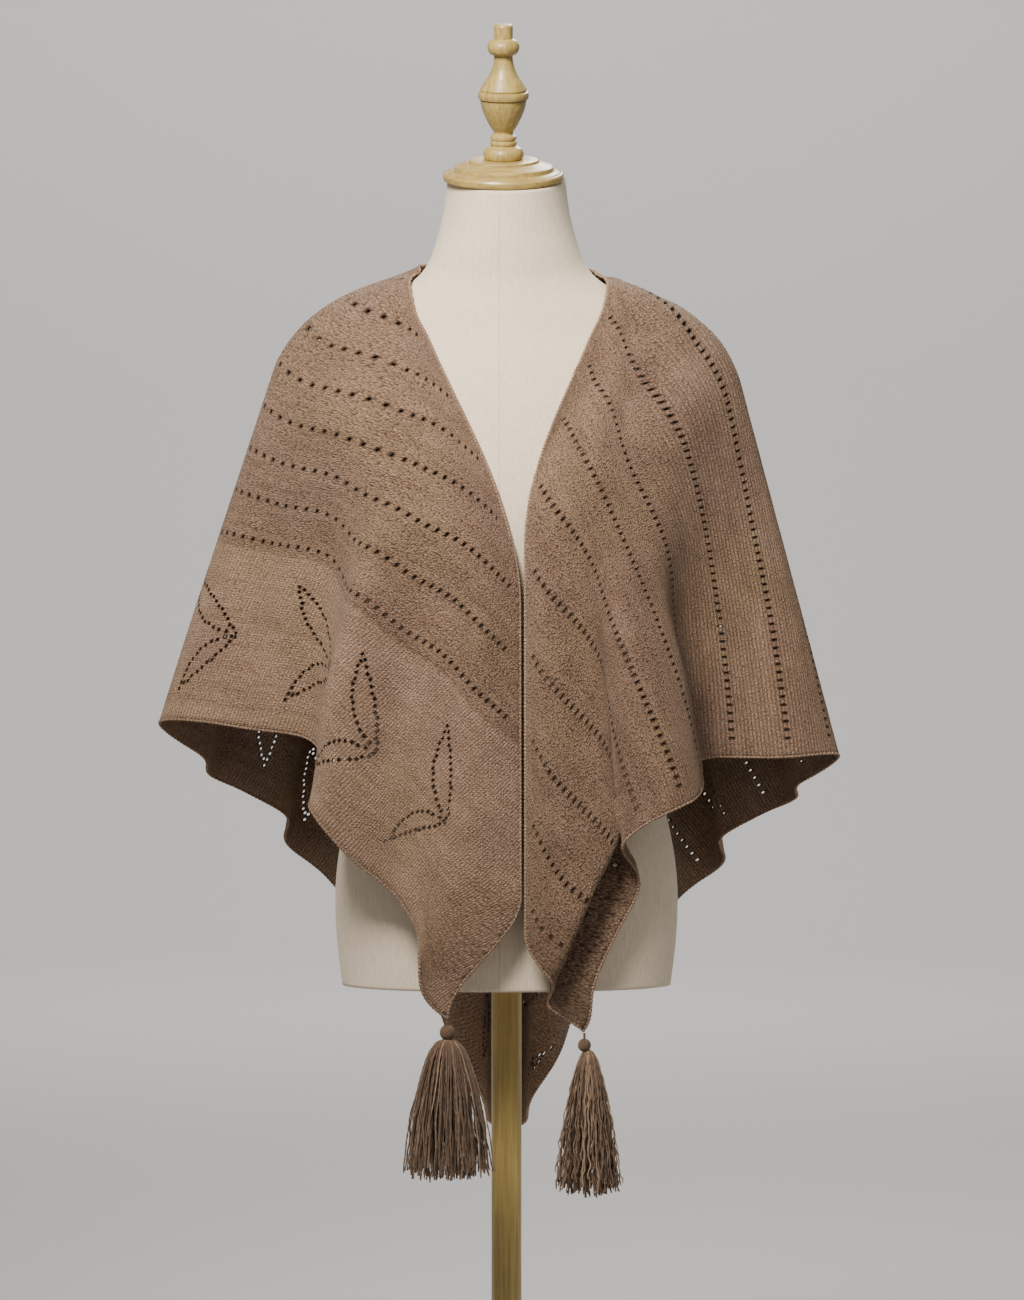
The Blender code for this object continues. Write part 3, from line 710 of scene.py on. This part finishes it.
# %% The turned wood
# height and radius in tenths of a millimetre, from the bottom up
NECK_CAP = (
    (0, 570), (12, 597), (25, 601), (62, 602), (80, 592), (86, 578), (78, 572), (78, 562),
    (90, 558), (107, 515), (100, 508), (100, 499), (112, 497), (128, 495), (142, 492),
    (150, 480), (160, 447), (178, 398), (190, 367), (183, 361), (183, 353), (196, 351),
    (206, 349), (213, 343), (216, 330),
)
FINIAL = (
    (218, 183), (226, 194), (250, 202), (276, 203), (300, 197), (325, 180), (345, 148),
    (354, 126), (358, 126), (366, 133), (382, 135), (398, 131), (404, 123), (410, 123),
    (416, 129), (434, 132), (452, 127), (462, 110), (472, 98), (490, 97), (500, 104), (540, 132),
    (584, 156), (640, 184), (695, 206), (750, 222), (803, 231), (806, 224), (812, 224),
    (818, 246), (838, 252), (862, 253), (884, 248), (889, 238), (892, 226), (898, 226),
    (904, 232), (917, 230), (950, 208), (984, 186), (1030, 155), (1074, 131), (1118, 113),
    (1162, 101), (1210, 94), (1243, 93), (1250, 108), (1262, 132), (1285, 149), (1308, 157),
    (1328, 160), (1350, 157), (1372, 148), (1394, 130), (1408, 106), (1412, 93), (1480, 94),
    (1532, 94), (1548, 85), (1555, 65),
)
POLE = ((233, 150), (6597, 150))
BASE = (
    (0, 1700), (40, 1740), (120, 1740), (170, 1680), (200, 1000), (230, 400),
)


SHARP = math.radians(28)


def turned(name, profile, centre, lean, slot, node, around=96, closer=4):
    """Heights and radii carried round an axis through centre that leans to the front by lean."""
    profile = np.array(((profile[0][0], 0), *profile, (profile[-1][0], 0))) / 10000
    length = np.concatenate(([0], np.cumsum(np.hypot(*np.diff(profile, axis=0).T))))
    parts = [np.linspace(p, q, closer, endpoint=False) for p, q in zip(length, length[1:])]
    at = np.append(np.concatenate(parts), length[-1])
    height = np.interp(at, length, profile[:, 0])[:, None]
    radius = np.interp(at, length, profile[:, 1])[:, None] + 1e-5
    x, y = radius * np.cos(circle(around)), radius * np.sin(circle(around))
    y, z = y * math.cos(lean) - height * math.sin(lean), y * math.sin(lean) + height * math.cos(lean)
    mesh = ring_mesh(name, np.stack((centre[0] + x, centre[1] + y, centre[2] + z), -1))
    mesh.set_sharp_from_angle(angle=SHARP)
    return add_piece(mesh, slot, node)


foot = (FORM_LEAN_X, 0.003, 0)
cap = turned("cap_wood", NECK_CAP, CAP_CENTRE, CAP_LEAN, "turned_wood", "neck_cap")
finial = turned("finial_wood", FINIAL, CAP_CENTRE, CAP_LEAN, "turned_wood", "finial")
pole = turned("pole_wood", POLE, foot, 0, "stand_wood", "pole")
base = turned("base_wood", BASE, foot, 0, "stand_wood", "base")

# %% [markdown]
# A tassel is a bundle of yarn, tied in the middle, folded down and bound again near its top. The
# fold hides the binding, so the strands come out from the top, round over and hang like a bell.
# Each strand is two plies twisted together, so its section is a figure of eight that turns as it
# goes down. The strands end at uneven lengths.

# %% The tassels
STRAND_STEPS, STRAND_SIDES = 40, 8
BUNDLE_TOP, BUNDLE_RADIUS, BUNDLE_FLAT = 0.0118, 0.0032, 0.85
PLY_TURN, PLY_DEPTH = 0.0080, 0.30
YARN_RADIUS, YARN_MORE = 0.00062, 0.00016
STRAY_X, STRAY_Y = 0.014, 0.010


def strands(name, head, count, length, spread, crimp, waves, bell, seed):
    """Strand k has its own place in a sunflower spiral. At w of the way down the spiral's radius is
    spread w^bell. The strand's waves are three sines of its own, of size crimp w^0.7 in all, and
    its own radius is r (1 + PLY_DEPTH cos 2(angle - twist))."""
    rng = np.random.default_rng(seed)
    k = np.arange(count)[:, None]
    way = np.linspace(0, 1, STRAND_STEPS)[None] ** 1.25
    share = np.sqrt((k + 0.5) / count)
    place = k * math.pi * (3 - math.sqrt(5))
    own = rng.random((count, 8))[:, :, None]
    long = (length + BUNDLE_TOP) * (0.86 + 0.14 * own[:, 0] ** 0.6) * (1 - 0.09 * share**3)
    out = share * (BUNDLE_RADIUS + (spread - BUNDLE_RADIUS) * way**bell * (1 - 0.06 * way**4))
    waving = []
    for _ in range(2):
        shape = 0
        for octave in (1.0, 1.7, 2.9):
            pace, start = rng.random((2, count))[..., None]
            phase = waves * octave * (0.7 + 0.6 * pace) * way + start
            shape = shape + np.sin(2 * math.pi * phase) / octave
        waving.append(crimp * way**0.7 * shape)
    x = out * np.cos(place) + waving[0] + STRAY_X * (own[:, 3] - 0.5) * way**1.3
    y = BUNDLE_FLAT * out * np.sin(place) + waving[1] + STRAY_Y * (own[:, 4] - 0.5) * way**1.3
    z = BUNDLE_TOP + 0.0015 * np.cos(share * 1.5) - long * way - 0.004 * share * np.sqrt(way)
    angle = circle(STRAND_SIDES)
    twist = (way * long / PLY_TURN * math.pi + 6.28 * own[:, 6])[..., None]
    size = (YARN_RADIUS + YARN_MORE * own[:, 7])[..., None]
    size = size * (1 + PLY_DEPTH * np.cos(2 * (angle - twist)))
    rings = rings_along(np.stack((x, y, z), -1) + np.array(head), size, angle, (0.0, 1.0, 0.0))
    each = np.arange(count) * STRAND_STEPS * STRAND_SIDES
    faces = (ring_quads(STRAND_STEPS, STRAND_SIDES)[None] + each[:, None, None]).reshape(-1, 4)
    mesh = mesh_from(name, rings.reshape(-1, 3), faces)
    shade = np.repeat(rng.random(count), STRAND_STEPS * STRAND_SIDES)
    down = np.broadcast_to(way[..., None], (count, STRAND_STEPS, STRAND_SIDES)).reshape(-1)
    set_uv(mesh, np.stack((shade, down), 1), "strand")
    return mesh


# height above the tassel's head, radius
HEAD_PROFILE = np.array(
    ((-0.0010, 0.0094), (0.0015, 0.0094), (0.0045, 0.0080), (0.0070, 0.0060), (0.0110, 0.0052))
)
THREAD, THREAD_FROM, YARN_LINES = 0.00035, 0.004, 0.00030


def bound_head(name, head, wraps=7, around=40, steps=60):
    """The profile of the head, with the ridges of the thread that is wound round its neck above,
    and the lines of the yarn below."""
    t = np.linspace(0, 1, steps)
    height = np.interp(t, np.linspace(0, 1, len(HEAD_PROFILE)), HEAD_PROFILE[:, 0])
    radius = np.interp(height, *HEAD_PROFILE.T)
    wound = np.abs(np.sin(wraps * math.pi * t)) * ease((height - THREAD_FROM) / 0.002)
    closing = np.sqrt(np.clip((1 - t) / 0.06, 0, 1))
    radius = ((radius + THREAD * wound) * np.where(t > 0.94, closing, 1) + 1e-5)[:, None]
    height, angle = height[:, None], circle(around)
    size = radius + YARN_LINES * np.cos(20 * angle) * (1 - ease((height - 0.003) / 0.003))
    return ring_mesh(name, rings_up(head, size, angle, head[2] + height))


def yarn_ball(name, centre, radius, top, steps=64, around=96, cord_steps=12):
    """A ball wound of yarn: r (0.88 + 0.14 |sin(6 (angle + 1.4 lift cos lift))|), and a fine cord."""
    lift = np.linspace(-math.pi / 2, math.pi / 2, steps)[:, None]
    angle = circle(around)
    size = radius * (0.88 + 0.14 * np.abs(np.sin(6 * (angle + 1.4 * lift * np.cos(lift)))))
    ball = rings_up(centre, size * np.cos(lift), angle, centre[2] + size * np.sin(lift))
    up = np.linspace(0, 1, cord_steps)[:, None]
    cord = radius * 0.18 * (1 + 0.2 * np.cos(2 * (angle - 9 * up)))
    low = centre[2] + radius * 0.9
    neck = rings_up(centre, cord, angle, low + (top - low) * up)
    faces = ring_quads(steps, around), ring_quads(cord_steps, around) + steps * around
    return mesh_from(name, np.concatenate((ball, neck)).reshape(-1, 3), *faces)


# side, knot's middle, knot's radius, cord's top, tassel's head, strands, length, spread, crimp,
# waves, bell
TASSELS = (
    ("right", (-0.0535, -0.1312, 0.6240), 0.0074, 0.6362,
     (-0.0535, -0.131, 0.6050), 290, 0.125, 0.043, 0.0010, 1.6, 0.42),
    ("left", (0.0795, -0.1032, 0.6090), 0.0064, 0.6209,
     (0.0830, -0.103, 0.5912), 270, 0.130, 0.031, 0.0010, 4.5, 0.55),
)
FIRST_SEED = 11
yarn_pieces = []
for number, (side, ball, ball_size, top, head, *bundle) in enumerate(TASSELS):
    knot, tassel = f"knot_{side}", f"tassel_{side}"
    for mesh, *nodes in (
        (yarn_ball(f"{knot}_yarn", ball, ball_size, top), knot),
        (strands(f"{tassel}_strands", head, *bundle, FIRST_SEED + number), tassel),
        (bound_head(f"{tassel}_head", head),),
    ):
        yarn_pieces.append(add_piece(mesh, "tassel_yarn", *nodes))

# %% [markdown]
# Materials come last. Each is a small graph of nodes, and a helper keeps the graphs readable:
# it adds one node, sets its values and plugs other nodes into it.

# %% A helper for material nodes


class Graph:
    """A new material and short ways to add nodes to it."""

    def __init__(self, name):
        self.material = bpy.data.materials.new(name)
        self.material.use_nodes = True
        self.tree = self.material.node_tree
        self.shader = self.tree.nodes["Principled BSDF"]

    def put(self, socket, value):
        """Plugs in another node's output, or sets the socket to a value."""
        if isinstance(value, bpy.types.NodeSocket):
            self.tree.links.new(value, socket)
        else:
            socket.default_value = value

    def node(self, kind, inputs=None, **settings):
        """A node of this kind, set up so, with these inputs; gives back its outputs."""
        made = self.tree.nodes.new("ShaderNode" + kind)
        for key, value in settings.items():
            setattr(made, key, value)
        for key, value in (inputs or {}).items():
            self.put(made.inputs[key], value)
        return made.outputs

    def math(self, operation, *values):
        return self.node("Math", dict(enumerate(values)), operation=operation)[0]

    def times(self, first, second):
        return self.math("MULTIPLY", first, second)

    def line(self, value, factor, more):
        """value factor + more."""
        return self.math("MULTIPLY_ADD", value, factor, more)

    def wave(self, value, pitch):
        """|sin(pi value / pitch)|, which is 0 once in every pitch."""
        return self.math("ABSOLUTE", self.math("SINE", self.times(value, math.pi / pitch)))

    def split(self, vector):
        return self.node("SeparateXYZ", {"Vector": vector})

    def stretched(self, parts, factors):
        """The vector of each part times its factor."""
        scaled = [self.times(part, factor) for part, factor in zip(parts, factors)]
        return self.node("CombineXYZ", dict(enumerate(scaled)))["Vector"]

    def noise(self, vector, scale, detail=3.0, rough=0.5):
        values = {"Vector": vector, "Scale": scale, "Detail": detail, "Roughness": rough}
        return self.node("TexNoise", values)["Fac"]

    def between(self, value, low, high):
        """0 below low and 1 above high, with a soft change between."""
        values = {"Value": value, "From Min": low, "From Max": high}
        return self.node("MapRange", values, interpolation_type="SMOOTHSTEP")["Result"]

    def mix(self, factor, first, second):
        """first where factor is 0 and second where it is 1, both numbers."""
        return self.node("Mix", {"Factor": factor, 2: first, 3: second}, data_type="FLOAT")[0]

    def tinted(self, first, second):
        """The product of two colours."""
        values = {"Factor": 1.0, 6: first, 7: second}
        return self.node("Mix", values, data_type="RGBA", blend_type="MULTIPLY")[2]

    def colours(self, factor, *stops):
        """A ramp of colours; each stop is (place, colour)."""
        ramp = self.tree.nodes.new("ShaderNodeValToRGB")
        self.put(ramp.inputs["Fac"], factor)
        elements = ramp.color_ramp.elements
        for element, (place, colour) in zip(elements, (stops[0], stops[-1])):
            element.position, element.color = place, (*colour, 1)
        for place, colour in stops[1:-1]:
            elements.new(place).color = (*colour, 1)
        return ramp.outputs["Color"]

    def surface(self, colour, values, relief=None, strength=0.0, distance=0.0):
        """Puts the colour, the shader's other values and the relief on the shader."""
        for key, value in {"Base Color": colour, **values}.items():
            self.put(self.shader.inputs[key], value)
        if relief is not None:
            bump = self.node("Bump", {"Height": relief, "Strength": strength, "Distance": distance})
            self.put(self.shader.inputs["Normal"], bump["Normal"])
        return self.material


# %% [markdown]
# The knit. Most of the cloth is garter stitch: rows of small bumps that lie along the lines of
# eyelets. The band along the right hem is stocking stitch, whose smooth columns stand across the
# band, and ends in a rib. All are drawn from the flat place of each point, a little disturbed by
# noise because brushed wool is never even. The colour is painted darker where the stitches are low,
# as painted shade in their grooves, and darker round each eyelet, as painted shade where the light
# is lost between its loops. A soft sheen stands for its short fibres.

# %% The knit material
GARTER_ROW, GARTER_STITCH, RIDGE = 0.0017, 0.0021, 0.0034
WALE, LOOP, RIB = 0.0031, 0.0029, 0.0034
RIB_FROM, RIB_FULL = 0.024, 0.016
KNIT_SURFACE = {
    "Roughness": 0.92, "Specular IOR Level": 0.18,
    "Sheen Weight": 0.16, "Sheen Roughness": 0.5, "Sheen Tint": (0.95, 0.78, 0.62, 1),
}


def knit_material(name, light, middle, dark):
    """The tone is the stitches' height with fibres, tufts, patches and streaks of noise added."""
    g = Graph(name)
    place = g.node("UVMap", uv_map="cloth")["UV"]
    object_place = g.node("TexCoord")["Object"]
    flat_a, flat_v, _ = g.split(place)
    drift, drift_too = g.noise(place, 230.0, 2.0), g.noise(place, 170.0, 2.0)
    a, v = g.line(drift, 0.0030, flat_a), g.line(drift_too, 0.0022, flat_v)
    # Garter stitch: uneven bumps, each a cell of its own, and the ridges of their rows, which
    # stand out more where the cloth is pulled along them over the wearer's left arm
    cells = {"Vector": g.stretched((a, v), (1 / GARTER_STITCH, 1 / GARTER_ROW)), "Scale": 1.0}
    cells["Randomness"] = 0.85
    bumps = g.node("TexVoronoi", cells, voronoi_dimensions="2D")
    chance = g.node("SeparateColor", {"Color": bumps["Color"]})["Red"]
    bump = g.times(g.line(bumps["Distance"], -1.35, 1.0), g.line(chance, 0.7, 0.5))
    ridge = g.wave(v, RIDGE)
    before_front = g.line(flat_v, 3.475, g.times(flat_a, 1.475))
    off_the_nape = g.between(g.math("SUBTRACT", flat_v, flat_a), 0.02, 0.16)
    pulled = g.times(g.between(before_front, 3.56, 3.36), off_the_nape)
    ribbed = g.times(g.line(bump, 0.8, 0.30), g.line(ridge, 0.85, 0.20))
    level = g.times(bump, g.line(ridge, 0.25, 0.80))
    grain = g.mix(pulled, level, ribbed)
    # Stocking stitch in the band, and the rib of its hem
    fine_a = g.line(drift, 0.0008, flat_a)
    legs = g.math("PINGPONG", fine_a, WALE / 2)
    loops = g.wave(g.line(legs, 0.7, g.line(drift_too, 0.0010, flat_v)), LOOP)
    stocking = g.times(g.line(g.wave(fine_a, WALE), 0.50, 0.50), g.line(loops, 0.35, 0.65))
    stocking = g.times(stocking, g.line(bump, 1.1, 0.40))
    rib = g.times(g.line(g.wave(fine_a, RIB), 0.6, 0.4), g.line(bump, 0.8, 0.5))
    stocking = g.mix(g.between(v, RIB_FROM, RIB_FULL), stocking, rib)
    height = g.mix(g.between(v, BAND + 0.002, BAND - 0.004), grain, stocking)
    # The noises, from the finest to the widest, and the streaks of the spun yarn along its rows
    fibre = g.noise(object_place, 1500.0, 3.0, 0.7)
    tuft = g.noise(object_place, 620.0, 3.0, 0.7)
    patch = g.noise(place, 24.0, 4.0, 0.6)
    streak = g.noise(g.stretched((flat_a, flat_v), (13.0, 120.0)), 1.0, 3.0, 0.55)
    # Painted shade: the colour is darker where the stitches are low, in the grooves between them
    tone = g.line(height, 0.55, g.line(fibre, 0.50, -0.15))
    for noise, factor, more in ((tuft, 0.55, -0.275), (patch, 0.30, -0.13), (streak, 0.24, -0.12)):
        tone = g.math("ADD", tone, g.line(noise, factor, more))
    # Painted shade round each eyelet: the colour darkens towards the rim of its hole
    rim = g.split(g.node("UVMap", uv_map="rim")["UV"])["X"]
    tone = g.line(g.times(rim, rim), -0.75, tone)
    colour = g.colours(tone, (0.05, dark), (0.50, middle), (0.95, light))
    shift = g.colours(g.noise(place, 9.0), (0.35, (1.0, 1.0, 0.93)), (0.65, (0.98, 0.95, 1.0)))
    relief = g.line(streak, 1.0, g.line(fibre, 0.35, g.line(tuft, 0.5, height)))
    return g.surface(g.tinted(colour, shift), KNIT_SURFACE, relief, 0.9, 0.0011)


knit = knit_material(
    "brushed_wool_knit", (0.60, 0.445, 0.325), (0.255, 0.166, 0.112), (0.055, 0.031, 0.019)
)
edge_knit = knit_material(
    "bound_off_edge", (0.62, 0.46, 0.34), (0.30, 0.20, 0.135), (0.09, 0.052, 0.032)
)
shawl_mesh.materials.append(knit)
for edge in edges:
    edge.data.materials.append(edge_knit)
print("knit", len(knit.node_tree.nodes), "nodes")

# %% [markdown]
# The yarn of the tassels is the same wool, but smoother, and its strands differ: some are pale
# and some dark. Each strand carries its own number in its UV, and the colour ramp reads it.

# %% The yarn material
YARN_COLOURS = (
    (0.0, (0.050, 0.027, 0.016)), (0.5, (0.150, 0.092, 0.058)), (1.0, (0.36, 0.245, 0.160))
)
YARN_SURFACE = {
    "Roughness": 0.85, "Specular IOR Level": 0.25,
    "Sheen Weight": 0.35, "Sheen Tint": (0.95, 0.85, 0.75, 1),
}


def yarn_material(name, uses_strands):
    """The tone is the strand's own number, or a patch of noise where the yarn is wound."""
    g = Graph(name)
    object_place = g.node("TexCoord")["Object"]
    fine = g.noise(object_place, 700.0, 3.0, 0.7)
    patch = g.noise(object_place, 90.0, 3.0, 0.6)
    if uses_strands:
        own = g.split(g.node("UVMap", uv_map="strand")["UV"])["X"]
        tone = g.line(own, 0.7, g.line(patch, 0.5, -0.1))
    else:
        tone = g.line(patch, 0.8, -0.05)
    tone = g.math("ADD", tone, g.line(fine, 0.3, -0.15))
    return g.surface(g.colours(tone, *YARN_COLOURS), YARN_SURFACE, fine, 0.4, 0.0005)


strand_yarn = yarn_material("tassel_strand_yarn", True)
wound_yarn = yarn_material("wound_yarn", False)
for piece in yarn_pieces:
    piece.data.materials.append(strand_yarn if piece.name.endswith("strands") else wound_yarn)
print("yarn on", len(yarn_pieces), "pieces")

# %% [markdown]
# The form's cover is a smooth pale cloth with fine upright threads, and a seam down its front.

# %% The cover's material
CROSS_THREAD, SEAM_X, SEAM_HALF = 0.0011, 0.0035, 0.0011
COVER_COLOURS = (0.0, (0.60, 0.48, 0.35)), (1.0, (0.92, 0.79, 0.62))
COVER_SURFACE = {"Roughness": 0.8, "Specular IOR Level": 0.25, "Sheen Weight": 0.15}


def cover_material():
    """Noise drawn out upright makes the threads, a wide noise the clouds, and the seam is dark."""
    g = Graph("form_cover_cloth")
    object_place = g.node("TexCoord")["Object"]
    x, y, z = g.split(object_place)
    threads = g.noise(g.stretched((x, y, z), (900.0, 900.0, 60.0)), 1.0, 3.0, 0.6)
    cloud = g.noise(object_place, 7.0)
    seam = g.between(g.math("ABSOLUTE", g.math("ADD", x, SEAM_X)), SEAM_HALF, 0.0)
    tone = g.math("ADD", g.line(threads, 1.3, -0.15), g.line(cloud, 0.3, -0.1))
    colour = g.colours(g.line(seam, -0.35, tone), *COVER_COLOURS)
    relief = g.line(seam, -2.0, g.line(g.wave(z, CROSS_THREAD), 0.3, threads))
    return g.surface(colour, COVER_SURFACE, relief, 0.25, 0.0004)


form.data.materials.append(cover_material())

# %% [markdown]
# The turned pieces are pale varnished wood. The grain runs up the finial and the pole in long
# streaks, and across the cap and the base. The varnish gives a soft gloss.

# %% The wood
PALE_WOOD, DARK_WOOD = (0.60, 0.445, 0.140), (0.19, 0.120, 0.030)
WOOD_SURFACE = {"Roughness": 0.42, "Coat Weight": 0.25, "Coat Roughness": 0.2}


def wood_material(name, across, along):
    """Noise that is drawn out along the grain, over a wide cloud."""
    g = Graph(name)
    object_place = g.node("TexCoord")["Object"]
    grain = g.noise(g.stretched(g.split(object_place), (across, 300.0, along)), 1.0, 5.0, 0.6)
    tone = g.line(grain, 1.1, g.line(g.noise(object_place, 18.0), 0.3, -0.2))
    colour = g.colours(tone, (0.1, DARK_WOOD), (0.9, PALE_WOOD))
    return g.surface(colour, WOOD_SURFACE, grain, 0.12, 0.0005)


upright_wood = wood_material("turned_wood_upright_grain", 300.0, 12.0)
flat_wood = wood_material("turned_wood_flat_grain", 14.0, 300.0)
for piece, wood in ((cap, flat_wood), (base, flat_wood), (finial, upright_wood), (pole, upright_wood)):
    piece.data.materials.append(wood)
print("materials", len(bpy.data.materials))

# %% [markdown]
# The studio is a pale round room, so that every side of the model stands before the same plain
# paper. Its floor curves up into the wall. One soft light stands high at the front left, a weak
# one fills the right, one lights the wall and one the back, and more light falls in from above.
# The camera is level with the middle of the view, 4 m away.

# %% Floor, lights and camera
FLOOR_RADIUS, CURVE, WALL_TOP = 9.0, 2.0, 8.0
FLOOR_DOWN = 0.0005
ROOM_SIDES, FLOOR_RINGS, CURVE_RINGS, WALL_RINGS = 96, 12, 24, 8
ROOM = FLOOR_RADIUS + CURVE
FILM, CAMERA_AWAY, VIEW_TALL = 36, 4.0, 1.3
VIEW_X, VIEW_Z = 0.009, 0.994

# name, place, aim, size, power, colour, spread in degrees: a smaller one fades it to the sides
LIGHTS = (
    ("key", (-0.50, -1.45, 2.40), (0.05, -0.1, 1.30), 0.60, 12.5, (1.0, 0.94, 0.86), 65),
    ("fill", (1.6, -3.0, 2.0), (0, 0, 1.2), 2.0, 4, (1.0, 0.97, 0.94), 180),
    ("wall", (0, 5.5, 5.5), (0, 11.0, 1.5), 3.0, 260, (1.0, 0.985, 0.96), 180),
    ("back", (0.6, 2.4, 3.4), (0, 0, 1.1), 1.2, 60, (1.0, 0.98, 0.95), 180),
)


bend = np.linspace(0, math.pi / 2, CURVE_RINGS)[1:]
out = (np.linspace(0.001, FLOOR_RADIUS, FLOOR_RINGS), FLOOR_RADIUS + CURVE * np.sin(bend))
out = np.concatenate((*out, np.full(WALL_RINGS, ROOM)))[:, None]
up = (np.zeros(FLOOR_RINGS), CURVE * (1 - np.cos(bend)))
up = np.concatenate((*up, np.linspace(CURVE + 0.3, WALL_TOP, WALL_RINGS)))[:, None] - FLOOR_DOWN
room = ring_mesh("studio_room", rings_up((0, 0), out, circle(ROOM_SIDES), up))
paper = Graph("studio_paper").surface((0.80, 0.79, 0.775, 1), {"Roughness": 0.9})
room.materials.append(paper)
floor = place_in_scene("studio_room", room)

for name, place, aim, size, power, colour, spread in LIGHTS:
    lamp = bpy.data.lights.new(name, "AREA")
    lamp.size, lamp.energy, lamp.color, lamp.spread = size, power, colour, math.radians(spread)
    holder = place_in_scene(name, lamp, place)
    holder.rotation_euler = (Vector(aim) - Vector(place)).to_track_quat("-Z", "Y").to_euler()
world = bpy.data.worlds.new("studio_world")
world.use_nodes = True
sky = world.node_tree.nodes["Background"].inputs
sky["Color"].default_value, sky["Strength"].default_value = (1.0, 0.98, 0.955, 1), 0.28
bpy.context.scene.world = world

camera = bpy.data.cameras.new("camera")
camera.sensor_width = FILM
camera.lens = FILM * CAMERA_AWAY / VIEW_TALL
camera_holder = place_in_scene("camera", camera, (VIEW_X, -CAMERA_AWAY, VIEW_Z))
camera_holder.rotation_euler = (math.pi / 2, 0, 0)
bpy.context.scene.camera = camera_holder
print("lights", len(LIGHTS), "lens", round(camera.lens, 1), "mm")
